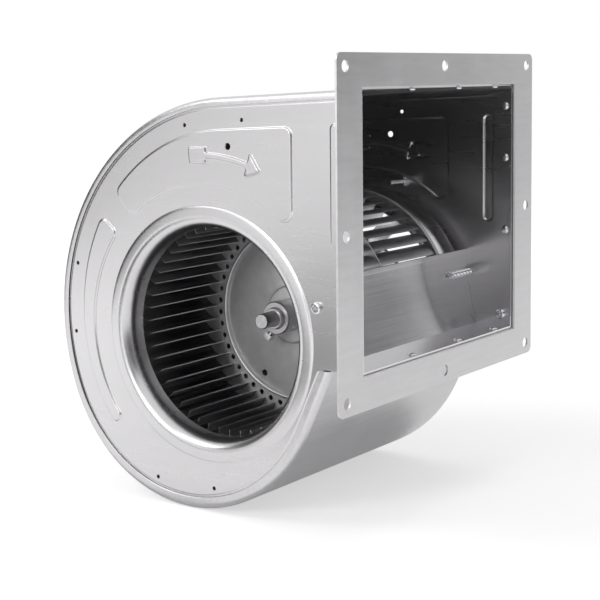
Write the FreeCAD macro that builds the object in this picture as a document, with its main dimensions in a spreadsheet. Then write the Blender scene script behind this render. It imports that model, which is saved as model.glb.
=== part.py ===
import FreeCAD, Part
import math
import os
import Sketcher
from FreeCAD import Placement, Rotation, Vector

# Double-inlet centrifugal fan with a forward-curved wheel on its motor's own shaft.
# Millimetres. The origin is the middle of the outlet flange's front face.
# +X points out of the outlet, +Y along the shaft away from the hub side, +Z up.

doc = FreeCAD.newDocument("centrifugal_fan")
sheet = doc.addObject("Spreadsheet::Sheet", "Sizes")

# Driving sizes, in the order in which the fan is laid out
DRIVING_SIZES = [
    ("flange_to_shaft", 183.5),
    ("shaft_drop", 110.0),
    # outlet flange
    ("flange_width", 376.0),
    ("flange_height", 324.0),
    ("flange_gauge", 2.0),
    ("flange_corner_radius", 7.0),
    ("flange_hole_spacing_across", 349.0),
    ("flange_hole_spacing_up", 300.0),
    ("flange_hole_radius", 5.5),
    ("neck_depth", 20.0),
    ("neck_gauge", 1.5),
    ("neck_bend_radius", 2.5),
    # scroll outline, taken on the seam line of the side plates
    ("scroll_top_height", 223.8),
    ("scroll_top_slope", 2.8),
    ("scroll_large_radius", 214.1),
    ("scroll_large_sweep", 108.9),
    ("scroll_large_centre_x", 27.2),
    ("scroll_small_radius", 152.8),
    ("scroll_small_sweep", 133.9),
    ("scroll_tail_length", 58.5),
    # casing sheets
    ("casing_half_width", 145.8),
    ("plate_gauge", 1.2),
    ("wrapper_gauge", 1.0),
    ("rim_depth", 8.0),
    ("rim_sag", 2.0),
    ("rim_radius", 6.0),
    ("lip_clearance", 0.2),
    ("plate_tuck", 3.0),
    ("floor_height", -17.4),
    ("tail_notch_height", -25.0),
    # drawn inlets
    ("inlet_radius", 104.5),
    ("bell_round", 12.0),
    ("bell_collar", 1.5),
    ("bell_foot_radius", 127.0),
    ("bell_depth", 23.5),
    # pressed panels, bead and arrow
    ("emboss_height", 1.5),
    ("panel_inner_radius", 146.5),
    ("panel_rim_margin", 22.0),
    ("panel_right_edge", 105.5),
    ("panel_start_angle", 131.0),
    ("panel_corner_radius", 10.0),
    ("crescent_inner_radius", 148.0),
    ("crescent_rim_margin", 21.5),
    ("crescent_start_angle", 140.5),
    ("crescent_end_angle", 220.5),
    ("crescent_corner_radius", 6.0),
    ("arrow_circle", 176.0),
    ("arrow_half_shaft", 3.4),
    ("arrow_half_tail", 9.0),
    ("arrow_half_head", 14.0),
    ("arrow_tail_start", 96.0),
    ("arrow_tail_end", 88.7),
    ("arrow_neck", 72.6),
    ("arrow_tip", 66.6),
    ("bead_place", 153.5),
    ("bead_width", 13.0),
    ("bead_bottom", 93.0),
    ("bead_top", 209.0),
    ("bead_corner_radius", 6.0),
    # holes in the side plates
    ("guard_hole_radius", 2.1),
    ("sight_hole_radius", 3.4),
    ("guard_hole_top_margin", 12.8),
    ("guard_hole_margin", 8.5),
    ("sight_hole_circle", 187.5),
    ("sight_hole_angle", 80.8),
    # cut-off plate
    ("cutoff_gauge", 1.0),
    ("cutoff_foot_stand", 14.8),
    ("cutoff_top_stand", 0.5),
    ("cutoff_top_height", 62.0),
    ("cutoff_bow", 2.4),
    ("cutoff_hem", 5.0),
    ("tab_height", 11.0),
    ("tab_ear_radius", 7.5),
    ("tab_setback", 2.0),
    # fasteners of the casing
    ("rivet_setback", 7.5),
    ("rivet_radius", 1.9),
    ("rivet_head_radius", 3.6),
    ("rivet_head_height", 1.8),
    ("rivet_tail_margin", 1.0),
    ("rivet_tail_height", 1.2),
    ("rivet_pass_margin", 1.0),
    ("rivet_row_left", -48.0),
    ("rivet_row_middle", 42.0),
    ("rivet_row_right", 118.5),
    ("rivet_side_top", 217.5),
    ("rivet_side_middle", 162.8),
    ("rivet_side_bottom", 85.7),
    ("tab_screw_setback", 11.5),
    ("tab_screw_height", -5.0),
    ("tab_screw_radius", 2.5),
    ("tab_screw_length", 9.0),
    ("stop_screw_height", 38.0),
    ("stop_screw_radius", 3.0),
    ("stop_screw_length", 45.0),
    ("stop_screw_head_radius", 6.0),
    ("pan_head_height", 3.6),
    ("hole_clearance", 0.15),
    ("seat_clearance", 0.3),
    # wheel
    ("wheel_radius", 125.0),
    ("blade_depth", 23.0),
    ("wheel_half_width", 114.0),
    ("blade_count", 48),
    ("blade_gauge", 0.8),
    ("blade_curve_radius", 17.0),
    ("blade_inlet_angle", 80.0),
    ("blade_slot_clearance", 0.2),
    ("blade_slot_end_clearance", 0.4),
    ("blade_tip_clearance", 0.2),
    ("blade_end_clearance", 0.1),
    ("ring_gauge", 1.0),
    ("ring_band", 5.0),
    ("ring_web", 10.0),
    ("disc_gauge", 1.2),
    ("disc_bead_inset", 11.4),
    ("disc_bead_round", 3.6),
    ("disc_bead_lead", 1.0),
    ("disc_dish", 5.0),
    ("disc_hub_radius", 31.5),
    ("disc_emboss", 1.6),
    ("disc_edge_margin", 1.0),
    ("disc_hole_radius", 3.0),
    ("disc_hole_inset", 4.8),
    ("key_hole_radius", 3.6),
    ("key_hole_inset", 23.7),
    ("key_hole_angle", 240.0),
    # hub, shaft and set screw
    ("shaft_radius", 8.0),
    ("shaft_front_end", 58.4),
    ("shaft_rear_end", 139.0),
    ("journal_radius", 7.5),
    ("hub_radius", 17.4),
    ("hub_step_radius", 11.0),
    ("hub_face", 33.5),
    ("hub_nose", 37.5),
    ("hub_back", 2.0),
    ("hub_bore_clearance", 0.05),
    ("hub_spigot_wall", 3.9),
    ("hub_spigot_clearance", 0.1),
    ("set_screw_place", 25.0),
    ("set_screw_radius", 3.0),
    ("set_screw_head", 8.0),
    ("set_screw_head_height", 6.0),
    ("set_screw_stand", 5.6),
    ("set_screw_angle", 236.0),
    # motor
    ("motor_radius", 70.0),
    ("shell_gauge", 1.5),
    ("motor_front", 22.0),
    ("motor_rear", 128.0),
    ("shield_depth", 12.0),
    ("shield_wall", 4.0),
    ("shield_boss_radius", 24.0),
    ("shield_boss_length", 8.0),
    ("bearing_radius", 17.5),
    ("bearing_width", 11.0),
    ("bearing_inner_radius", 10.6),
    ("core_front", 48.0),
    ("core_rear", 100.0),
    ("rotor_radius", 40.0),
    ("air_gap", 0.4),
    ("winding_inner_radius", 44.0),
    ("winding_outer_radius", 56.0),
    ("winding_length", 12.0),
    ("tie_bolt_radius", 2.0),
    ("tie_bolt_circle", 60.0),
    ("tie_bolt_reach", 6.0),
    ("tie_head_radius", 3.5),
    ("tie_head_height", 3.0),
    ("tie_nut_height", 3.2),
    ("lead_bush_circle", 44.0),
    ("lead_bush_radius", 5.5),
    ("lead_bush_angle", 130.0),
    ("lead_bush_height", 4.0),
    # motor mounting
    ("band_gauge", 1.5),
    ("band_middle", 100.0),
    ("band_width", 26.0),
    ("band_gap", 9.0),
    ("band_ear", 15.0),
    ("band_ear_angle", 235.0),
    ("band_bolt_radius", 2.5),
    ("band_bolt_spare_length", 6.0),
    ("band_bolt_head_radius", 4.0),
    ("band_bolt_head_height", 3.5),
    ("band_nut_height", 4.0),
    ("arm_gauge", 3.0),
    ("arm_width", 22.0),
    ("arm_bolt_circle", 141.2),
    ("arm_joggle", 6.0),
    ("arm_joggle_run", 5.0),
    ("arm_foot_inset", 10.0),
    ("arm_leg_rise", 10.0),
    ("arm_leg_setback", 2.0),
    ("arm_screw_radius", 2.5),
    ("arm_screw_head_radius", 4.8),
    ("arm_turn_radius", 97.0),
    ("arm_first_angle", 70.3),
    ("arm_second_angle", 185.0),
    ("arm_third_angle", 285.0),
    ("arm_bolt_radius", 3.0),
    ("arm_bolt_length", 36.0),
    ("arm_bolt_head_height", 4.0),
    ("nut_height", 5.0),
    ("nut_radius", 5.2),
    ("grommet_radius", 5.2),
    ("grommet_gauge", 2.0),
]

for row, (alias, value) in enumerate(DRIVING_SIZES, start=1):
    sheet.set("A%d" % row, alias)
    sheet.set("B%d" % row, str(value))
    sheet.setAlias("B%d" % row, alias)
doc.recompute()


def size(formula):
    """A size, or a formula of sizes, read from the sheet as a number."""
    result = sheet.evalExpression(bind(formula))
    return float(getattr(result, "Value", result))


ALIASES = [alias for alias, value in DRIVING_SIZES]


def bind(formula):
    """Turns plain size names in a formula into references to the sheet."""
    words = []
    word = ""
    for letter in str(formula) + " ":
        if letter.isalnum() or letter in "_.":
            word += letter
            continue
        words.append("Sizes." + word if word in ALIASES else word)
        words.append(letter)
        word = ""
    return "".join(words).strip()


# Sub-parts are collected here by name: the object whose shape is the piece
pieces = {}


def on_shaft(item, angle=0.0):
    """Places a piece that was drawn about the shaft's axis; angle turns it about the shaft."""
    spot = Vector(-size("flange_to_shaft"), 0, -size("shaft_drop"))
    item.Placement = Placement(spot, Rotation(Vector(0, 1, 0), -angle))
    item.setExpression("Placement.Base.x", bind("-flange_to_shaft"))
    item.setExpression("Placement.Base.z", bind("-shaft_drop"))


def keep(item, name):
    """Registers an object as a finished sub-part under its own label."""
    item.Label = name
    pieces[name] = item
    return item


def shape_piece(name, shape):
    """A piece worked out from its sizes in code, drawn about the shaft's axis."""
    item = doc.addObject("Part::Feature", name)
    turn = shape.Placement.toMatrix()
    still = shape.copy()
    still.Placement = Placement()
    item.Shape = still.transformed(turn, True)
    on_shaft(item)
    return keep(item, name)


def body_with_sketch(name, plane, offset="0"):
    """A body and a sketch on one of its origin planes, moved along the plane's normal."""
    body = doc.addObject("PartDesign::Body", name)
    body.Label = name
    sketch = add_sketch(body, plane, name + "_outline", offset)
    return body, sketch


def add_sketch(body, plane, label, offset="0"):
    sketch = body.newObject("Sketcher::SketchObject", label)
    role = [item for item in body.Origin.OriginFeatures if item.Role == plane][0]
    sketch.AttachmentSupport = (role, [""])
    sketch.MapMode = "FlatFace"
    if offset != "0":
        sketch.AttachmentOffset = Placement(Vector(0, 0, size(offset)), Rotation())
        sketch.setExpression("AttachmentOffset.Base.z", bind(offset))
    return sketch


def closed_outline(sketch, corners):
    """Straight closed outline whose corners are pairs of size formulas."""
    spots = [Vector(size(across), size(up), 0) for across, up in corners]
    count = len(spots)
    first = sketch.GeometryCount
    for index in range(count):
        sketch.addGeometry(Part.LineSegment(spots[index], spots[(index + 1) % count]), False)
    for index in range(count):
        line = first + index
        following = first + (index + 1) % count
        sketch.addConstraint(Sketcher.Constraint("Coincident", line, 2, following, 1))
    for index, (across, up) in enumerate(corners):
        line = first + index
        pin_down(sketch, "DistanceX", line, across)
        pin_down(sketch, "DistanceY", line, up)


def pin_down(sketch, kind, line, formula):
    """Binds the start of a line to a size formula, measured from the sketch's origin."""
    value = size(formula)
    number = sketch.addConstraint(Sketcher.Constraint(kind, -1, 1, line, 1, value))
    if any(alias in str(formula) for alias in ALIASES):
        sketch.setExpression("Constraints[%d]" % number, bind(formula))


def circle_outline(sketch, across, up, radius):
    """A circle whose centre and radius are size formulas."""
    centre = Vector(size(across), size(up), 0)
    line = sketch.addGeometry(Part.Circle(centre, Vector(0, 0, 1), size(radius)), False)
    for kind, formula in (("DistanceX", across), ("DistanceY", up)):
        number = sketch.addConstraint(Sketcher.Constraint(kind, -1, 1, line, 3, size(formula)))
        sketch.setExpression("Constraints[%d]" % number, bind(formula))
    number = sketch.addConstraint(Sketcher.Constraint("Radius", line, size(radius)))
    sketch.setExpression("Constraints[%d]" % number, bind(radius))


def pad(body, sketch, length):
    feature = body.newObject("PartDesign::Pad", sketch.Label + "_pad")
    feature.Profile = sketch
    feature.setExpression("Length", bind(length))
    sketch.Visibility = False
    return feature


def pocket_through(body, sketch):
    feature = body.newObject("PartDesign::Pocket", sketch.Label + "_pocket")
    feature.Profile = sketch
    feature.Type = "ThroughAll"
    feature.Midplane = True
    return feature


def turned_body(name, corners):
    """A body turned about the shaft's direction from (radius, place along the shaft) corners."""
    body, sketch = body_with_sketch(name, "XY_Plane")
    closed_outline(sketch, corners)
    feature = body.newObject("PartDesign::Revolution", name + "_turning")
    feature.Profile = sketch
    feature.ReferenceAxis = (sketch, ["V_Axis"])
    feature.Angle = 360.0
    doc.recompute()
    on_shaft(body)
    keep(body, name)
    return body


def turned_shape(corners):
    """A solid turned about the Y axis from numeric (radius, place) corners."""
    spots = [Vector(radius, place, 0) for radius, place in corners]
    face = Part.Face(Part.makePolygon(spots + [spots[0]]))
    return face.revolve(Vector(0, 0, 0), Vector(0, 1, 0), 360)


def prism(wire, low, high):
    """Solid between two places along Y over a closed outline drawn at Y = 0."""
    solid = Part.Face(wire).extrude(Vector(0, high - low, 0))
    solid.translate(Vector(0, low, 0))
    return solid


def polygon(corners):
    """Closed outline in the plane across the shaft from (x, z) corners."""
    spots = [Vector(across, 0, up) for across, up in corners]
    return Part.makePolygon(spots + [spots[0]])


def rod(radius, low, high, across=0.0, up=0.0):
    """Round solid along the shaft's direction."""
    return Part.makeCylinder(radius, high - low, Vector(across, low, up), Vector(0, 1, 0))


def mirrored(shape):
    """The same shape on the other side of the casing."""
    return shape.mirror(Vector(0, 0, 0), Vector(0, 1, 0))


def polar(radius, angle):
    """Point at a radius and an angle in degrees from +X towards +Z, as (x, z)."""
    turn = math.radians(angle)
    return radius * math.cos(turn), radius * math.sin(turn)


# Scroll outline: sloping top, a large and a small tangent arc, straight tail to the cut-off
plate_face = size("casing_half_width")
outlet_end = size("flange_to_shaft - flange_gauge")
slope = size("scroll_top_slope")
large_radius = size("scroll_large_radius")
small_radius = size("scroll_small_radius")
top_tangent_angle = 90.0 + slope
joint_angle = top_tangent_angle + size("scroll_large_sweep")
tail_angle = joint_angle + size("scroll_small_sweep")
large_centre_x = size("scroll_large_centre_x")
large_centre_z = size("scroll_top_height") - large_radius * math.cos(math.radians(slope))
joint_x, joint_z = polar(large_radius - small_radius, joint_angle)
small_centre_x = large_centre_x + joint_x
small_centre_z = large_centre_z + joint_z
tail_heading = tail_angle + 90.0


def scroll_edges(offset, right_end, sag=0.0):
    """The scroll's edges, moved outwards by offset: from the outlet's top to the tail's end.

    With sag, the outline swells by that much again below the straight top.
    """
    sag_x, sag_z = polar(sag, top_tangent_angle)
    grown = offset + sag

    def on_large(angle):
        across, up = polar(large_radius + grown, angle)
        return Vector(large_centre_x - sag_x + across, 0, large_centre_z - sag_z + up)

    def on_small(angle):
        across, up = polar(small_radius + grown, angle)
        return Vector(small_centre_x - sag_x + across, 0, small_centre_z - sag_z + up)

    tangent = on_large(top_tangent_angle)
    rise = (right_end - tangent.x) * math.tan(math.radians(slope))
    start = Vector(right_end, 0, tangent.z + rise)
    joint = on_large(joint_angle)
    tail_start = on_small(tail_angle)
    run_x, run_z = polar(size("scroll_tail_length"), tail_heading)
    tail_end = tail_start + Vector(run_x, 0, run_z)
    large_middle = on_large((top_tangent_angle + joint_angle) / 2)
    small_middle = on_small((joint_angle + tail_angle) / 2)
    return [
        Part.LineSegment(start, tangent).toShape(),
        Part.Arc(tangent, large_middle, joint).toShape(),
        Part.Arc(joint, small_middle, tail_start).toShape(),
        Part.LineSegment(tail_start, tail_end).toShape(),
    ], start, tail_start, tail_end


def scroll_outline(offset, right_end, bottom, sag=0.0):
    """Closed scroll outline whose tail is drawn out to the height called bottom."""
    edges, start, tail_start, tail_end = scroll_edges(offset, right_end, sag)
    heading = tail_end - tail_start
    reach = (bottom - tail_start.z) / heading.z
    foot = tail_start + heading * reach
    corner = Vector(right_end, 0, bottom)
    edges[3] = Part.LineSegment(tail_start, foot).toShape()
    edges.append(Part.LineSegment(foot, corner).toShape())
    edges.append(Part.LineSegment(corner, start).toShape())
    return Part.Wire(edges)


def scroll_reach(angle):
    """Distance from the shaft's axis to the seam line in a direction, by its two arcs."""
    across, up = polar(1.0, angle)
    if angle % 360 < joint_angle:
        centre_x, centre_z, radius = large_centre_x, large_centre_z, large_radius
    else:
        centre_x, centre_z, radius = small_centre_x, small_centre_z, small_radius
    along = across * centre_x + up * centre_z
    aside = centre_x ** 2 + centre_z ** 2 - along ** 2
    return along + math.sqrt(radius ** 2 - aside)


# Heights of the outlet's bottom: cut-off floor over the wrapper's foot over the flange neck
floor_top = size("floor_height")
floor_under = floor_top - size("cutoff_gauge")
foot_under = floor_under - size("wrapper_gauge")
plate_bottom = foot_under
seat = size("seat_clearance")
neck_under = foot_under - seat
rim_depth = size("rim_depth")
wrapper_gauge = size("wrapper_gauge")
lip_face = plate_face + size("lip_clearance") + wrapper_gauge
plate_inside = plate_face - size("plate_gauge")
BEYOND = 20.0

# Fastener places on the casing
rivet_x = outlet_end - size("rivet_setback")
rivet_rows = [size("rivet_row_left"), size("rivet_row_middle"), size("rivet_row_right")]
rivet_heights = [size("rivet_side_top"), size("rivet_side_middle"), size("rivet_side_bottom")]
tab_screw_x = outlet_end - size("tab_screw_setback")
tab_screw_z = size("tab_screw_height")
stop_z = size("stop_screw_height")
rivet_hole = size("rivet_radius + hole_clearance")
tab_hole = size("tab_screw_radius + hole_clearance")
stop_hole = size("stop_screw_radius + hole_clearance")

# Tongue of the cut-off plate: an arc bowed towards the wheel
tongue_foot = Vector(size("wheel_radius + cutoff_foot_stand"), 0, floor_under + size("cutoff_gauge") / 2)
tongue_top = Vector(size("wheel_radius + cutoff_top_stand"), 0, size("cutoff_top_height"))
tongue_chord = tongue_top - tongue_foot
tongue_side = Vector(-tongue_chord.z, 0, tongue_chord.x).normalize()
tongue_middle = (tongue_foot + tongue_top) * 0.5 + tongue_side * size("cutoff_bow")
tongue_curve = Part.Arc(tongue_foot, tongue_middle, tongue_top).toShape().Curve
tongue_centre = tongue_curve.Center
tongue_radius = tongue_curve.Radius


def tongue_place(height):
    """Where the middle of the tongue's sheet stands, across, at a height."""
    return tongue_centre.x - math.sqrt(tongue_radius ** 2 - (height - tongue_centre.z) ** 2)


stop_x = tongue_place(stop_z) + size("cutoff_gauge / 2 + seat_clearance + stop_screw_radius")

# Motor arm bolts in the rear side plate
arm_angles = [size("arm_first_angle"), size("arm_second_angle"), size("arm_third_angle")]
arm_circle = size("arm_bolt_circle")


# Side plates: flat sheet with a drawn inlet, pressed panels, bead and arrow, and punched holes
# Degrees that a pressed form's slanting end turns back for each millimetre of sheet
SLANT_PER_MM = 0.35


def sector(inner, margin, start_angle, end_angle, corner_radius, low, high, shrink):
    """Solid between a circle about the shaft and a line inside the scroll's rim."""
    region = prism(scroll_outline(-margin - shrink, outlet_end + BEYOND, plate_bottom), low, high)
    region = region.cut(rod(inner + shrink, low - 1, high + 1))
    far = 4 * large_radius
    corners = [(0, 0)]
    steps = 6
    for step in range(steps + 1):
        corners.append(polar(far, start_angle + (end_angle - start_angle) * step / steps))
    wedge = prism(polygon(corners), low, high)
    region = region.common(wedge)
    return round_upright(region, corner_radius - shrink)


def round_upright(solid, radius):
    """Rounds the edges that run along the shaft's direction, where two faces meet at an angle."""
    upright = []
    for edge in solid.Edges:
        if edge.Curve.TypeId != "Part::GeomLine":
            continue
        if abs(abs(edge.tangentAt(edge.FirstParameter).y) - 1) > 1e-6:
            continue
        faces = solid.ancestorsOfType(edge, Part.Face)
        normals = [face.normalAt(*face.Surface.parameter(edge.CenterOfMass)) for face in faces]
        if len(normals) == 2 and normals[0].getAngle(normals[1]) > 0.2:
            upright.append(edge)
    return solid.makeFillet(radius, upright)


def panel_above(low, high, shrink):
    """Large panel over the inlet, with a straight right edge."""
    edge_x = size("panel_right_edge") - shrink
    inner = size("panel_inner_radius")
    margin = size("panel_rim_margin")
    region = prism(scroll_outline(-margin - shrink, outlet_end + BEYOND, plate_bottom), low, high)
    region = region.cut(rod(inner + shrink, low - 1, high + 1))
    turn = size("panel_start_angle") - shrink * SLANT_PER_MM
    far_left = polar(4 * large_radius, turn)
    keep_area = [(0, 0), (edge_x, 0), (edge_x, 4 * large_radius), (far_left[0], 4 * large_radius), far_left]
    region = region.common(prism(polygon(keep_area), low, high))
    return round_upright(region, size("panel_corner_radius") - shrink)


def bead_near_outlet(low, high, shrink):
    """Long narrow bead beside the outlet."""
    left = size("bead_place - bead_width / 2") + shrink
    right = size("bead_place + bead_width / 2") - shrink
    bottom = size("bead_bottom") + shrink
    top = size("bead_top") - shrink
    wire = polygon([(left, bottom), (right, bottom), (right, top), (left, top)])
    return round_upright(prism(wire, low, high), size("bead_corner_radius") - shrink)


# Degrees that the arrow's ends and tip turn back for each millimetre of sheet
ARROW_SIDE_TURN = 0.3
ARROW_TIP_TURN = 0.5


def arrow_outline(shrink):
    """Turning arrow: square tail, bent shaft and a head, as a closed outline."""
    middle = size("arrow_circle")
    half_shaft = size("arrow_half_shaft") - shrink
    half_tail = size("arrow_half_tail") - shrink
    half_head = size("arrow_half_head") - 2 * shrink
    tail_left = size("arrow_tail_start") - shrink * ARROW_SIDE_TURN
    tail_right = size("arrow_tail_end") + shrink * ARROW_SIDE_TURN
    neck = size("arrow_neck") - shrink * ARROW_SIDE_TURN
    tip = size("arrow_tip") + shrink * ARROW_TIP_TURN

    def at(radius, angle):
        across, up = polar(radius, angle)
        return Vector(across, 0, up)

    bend = (tail_right + neck) / 2
    edges = [
        Part.makeLine(at(middle - half_tail, tail_left), at(middle + half_tail, tail_left)),
        Part.makeLine(at(middle + half_tail, tail_left), at(middle + half_tail, tail_right)),
        Part.makeLine(at(middle + half_tail, tail_right), at(middle + half_shaft, tail_right)),
        Part.Arc(at(middle + half_shaft, tail_right), at(middle + half_shaft, bend),
                 at(middle + half_shaft, neck)).toShape(),
        Part.makeLine(at(middle + half_shaft, neck), at(middle + half_head, neck)),
        Part.makeLine(at(middle + half_head, neck), at(middle, tip)),
        Part.makeLine(at(middle, tip), at(middle - half_head, neck)),
        Part.makeLine(at(middle - half_head, neck), at(middle - half_shaft, neck)),
        Part.Arc(at(middle - half_shaft, neck), at(middle - half_shaft, bend),
                 at(middle - half_shaft, tail_right)).toShape(),
        Part.makeLine(at(middle - half_shaft, tail_right), at(middle - half_tail, tail_right)),
        Part.makeLine(at(middle - half_tail, tail_right), at(middle - half_tail, tail_left)),
    ]
    return Part.Wire(edges)


def side_plate():
    """The rear side plate, on +Y: outside face at casing_half_width."""
    gauge = size("plate_gauge")
    raise_by = size("emboss_height")
    round_out = size("bell_round")
    throat = size("inlet_radius")
    bell_end = plate_face - size("bell_depth")
    ridge = plate_face + size("bell_collar")
    ridge_radius = throat + round_out
    foot_radius = size("bell_foot_radius")
    sheet_area = prism(scroll_outline(size("plate_tuck"), outlet_end, plate_bottom),
                       plate_inside, plate_face)
    plate = sheet_area.cut(rod(foot_radius, plate_inside - 1, plate_face + 1))

    # bell: slight rise to a ridge, then a quarter round into a short straight throat
    turn_centre = ridge - round_out
    outer_round = round_out - gauge
    diagonal = math.sqrt(0.5)
    outside = Part.Arc(
        Vector(ridge_radius, ridge, 0),
        Vector(ridge_radius - round_out * diagonal, turn_centre + round_out * diagonal, 0),
        Vector(throat, turn_centre, 0)).toShape()
    inside = Part.Arc(
        Vector(throat + gauge, turn_centre, 0),
        Vector(ridge_radius - outer_round * diagonal, turn_centre + outer_round * diagonal, 0),
        Vector(ridge_radius, ridge - gauge, 0)).toShape()
    bell_section = Part.Wire([
        outside,
        Part.makeLine(Vector(throat, turn_centre, 0), Vector(throat, bell_end, 0)),
        Part.makeLine(Vector(throat, bell_end, 0), Vector(throat + gauge, bell_end, 0)),
        Part.makeLine(Vector(throat + gauge, bell_end, 0), Vector(throat + gauge, turn_centre, 0)),
        inside,
        Part.makeLine(Vector(ridge_radius, ridge - gauge, 0), Vector(foot_radius, plate_inside, 0)),
        Part.makeLine(Vector(foot_radius, plate_inside, 0), Vector(foot_radius, plate_face, 0)),
        Part.makeLine(Vector(foot_radius, plate_face, 0), Vector(ridge_radius, ridge, 0)),
    ])
    bell = Part.Face(bell_section).revolve(Vector(0, 0, 0), Vector(0, 1, 0), 360)
    plate = plate.fuse(bell)

    # pressed forms stand out of the sheet, and are hollow behind
    crescent_inner = size("crescent_inner_radius")
    crescent_margin = size("crescent_rim_margin")
    crescent_start = size("crescent_start_angle")
    crescent_end = size("crescent_end_angle")
    corner = size("crescent_corner_radius")

    def forms(low, high, shrink):
        crescent = sector(crescent_inner, crescent_margin, crescent_start + shrink * SLANT_PER_MM,
                          crescent_end - shrink * SLANT_PER_MM, corner, low, high, shrink)
        return [panel_above(low, high, shrink), bead_near_outlet(low, high, shrink), crescent]

    for form in forms(plate_inside, plate_face + raise_by, 0.0):
        plate = plate.fuse(form)
    for form in forms(plate_inside - 1, plate_face + raise_by - gauge, gauge):
        plate = plate.cut(form)
    arrow_top = plate_face + 2 * raise_by
    arrow = prism(arrow_outline(0.0), plate_face + raise_by - gauge, arrow_top)
    hollow = prism(arrow_outline(gauge), plate_inside - 1, arrow_top - gauge)
    plate = plate.fuse(arrow).cut(hollow)

    for across, up, radius in plate_holes():
        plate = plate.cut(rod(radius, plate_inside - BEYOND, plate_face + BEYOND, across, up))
    return plate.removeSplitter()


# Directions from the shaft in which the guard's holes stand: by the top, and round the scroll
GUARD_TOP_ANGLES = (96.8, 77.7)
GUARD_RIM_ANGLES = (161.1, 184.3, 246.3, 272.2)


def plate_holes():
    """Holes that both side plates share, as (x, z, radius)."""
    small = size("guard_hole_radius")
    margin = size("guard_hole_margin")
    holes = []
    top_margin = size("guard_hole_top_margin")
    for angle in GUARD_TOP_ANGLES:
        holes.append(polar(scroll_reach(angle) - top_margin, angle) + (small,))
    for angle in GUARD_RIM_ANGLES:
        holes.append(polar(scroll_reach(angle) - margin, angle) + (small,))
    sight = polar(size("sight_hole_circle"), size("sight_hole_angle"))
    holes.append(sight + (size("sight_hole_radius"),))
    for height in rivet_heights:
        holes.append((rivet_x, height, rivet_hole))
    holes.append((tab_screw_x, tab_screw_z, tab_hole))
    holes.append((stop_x, stop_z, stop_hole))
    return holes


rear_plate = side_plate()
front_plate = mirrored(rear_plate)
for angle in arm_angles:
    across, up = polar(arm_circle, angle)
    hole = rod(size("arm_bolt_radius + hole_clearance"), plate_inside - BEYOND,
               plate_face + BEYOND, across, up)
    rear_plate = rear_plate.cut(hole)
shape_piece("side_plate_front", front_plate)
shape_piece("side_plate_rear", rear_plate)


# Scroll wrapper: one bent sheet with its rims rolled over the side plates' edges
def rim_solid(offset, half, radius, right_end, bottom):
    """Scroll-shaped solid with both rims rounded along the top, the arcs and the tail."""
    solid = prism(scroll_outline(offset, right_end, bottom, size("rim_sag")), -half, half)
    rims = []
    for edge in solid.Edges:
        box = edge.BoundBox
        across_shaft = box.YLength < 1e-6
        on_foot = box.ZLength < 1e-6
        at_outlet = box.XLength < 1e-6
        if across_shaft and not on_foot and not at_outlet:
            rims.append(edge)
    return solid.makeFillet(radius, rims)


outer_half = lip_face
inner_half = lip_face - wrapper_gauge
wrapper_end = outlet_end - size("seat_clearance")
wrapper = rim_solid(rim_depth, outer_half, size("rim_radius"), wrapper_end, foot_under)
wrapper_hollow = rim_solid(rim_depth - wrapper_gauge, inner_half,
                           size("rim_radius") - wrapper_gauge, outlet_end + BEYOND, floor_under)
wrapper = wrapper.cut(wrapper_hollow)
notch = size("tail_notch_height")
TRIM_REACH = 12.6
window = prism(scroll_outline(0, outlet_end + BEYOND, notch), -outer_half - 1, outer_half + 1)
wrapper_ends = window.cut(prism(scroll_outline(0, outlet_end + 2 * BEYOND, notch - 1),
                                -inner_half, inner_half))
wrapper = wrapper.cut(wrapper_ends)
foot_half = plate_inside - size("lip_clearance")
# the foot's flat runs on under the cut-off plate only between the side plates
trim_left = tongue_foot.x - TRIM_REACH
for side in (-1, 1):
    low, high = sorted((side * foot_half, side * (outer_half + 1)))
    trim = polygon([(trim_left, notch), (outlet_end + BEYOND, notch),
                    (outlet_end + BEYOND, notch + BEYOND), (trim_left, notch + BEYOND)])
    wrapper = wrapper.cut(prism(trim, low, high))
wrapper_top = scroll_edges(rim_depth, outlet_end)[1].z
for row in rivet_rows:
    for low, high in ((foot_under - 1, floor_top + 1), (wrapper_top - BEYOND, wrapper_top + BEYOND)):
        hole = Part.makeCylinder(rivet_hole, high - low, Vector(rivet_x, row, low))
        wrapper = wrapper.cut(hole)
for height in rivet_heights:
    passing = size("rivet_head_radius + rivet_pass_margin")
    wrapper = wrapper.cut(rod(passing, -outer_half - 1, outer_half + 1, rivet_x, height))
shape_piece("scroll_wrapper", wrapper.removeSplitter())

# Cut-off plate: floor of the outlet, upright tongue with a folded hem, and two end tabs
cutoff_gauge = size("cutoff_gauge")
tongue_half = plate_inside - size("lip_clearance")


def tongue_strip(thickness, shift, top, bottom):
    """Curved upright strip: shift moves its middle towards the outlet."""
    outer = rod(tongue_radius - shift + thickness / 2, -tongue_half, tongue_half,
                tongue_centre.x, tongue_centre.z)
    inner = rod(tongue_radius - shift - thickness / 2, -tongue_half - 1, tongue_half + 1,
                tongue_centre.x, tongue_centre.z)
    left = tongue_centre.x - 2 * tongue_radius
    band = polygon([(left, bottom), (tongue_centre.x, bottom), (tongue_centre.x, top), (left, top)])
    return outer.cut(inner).common(prism(band, -tongue_half, tongue_half))


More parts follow.
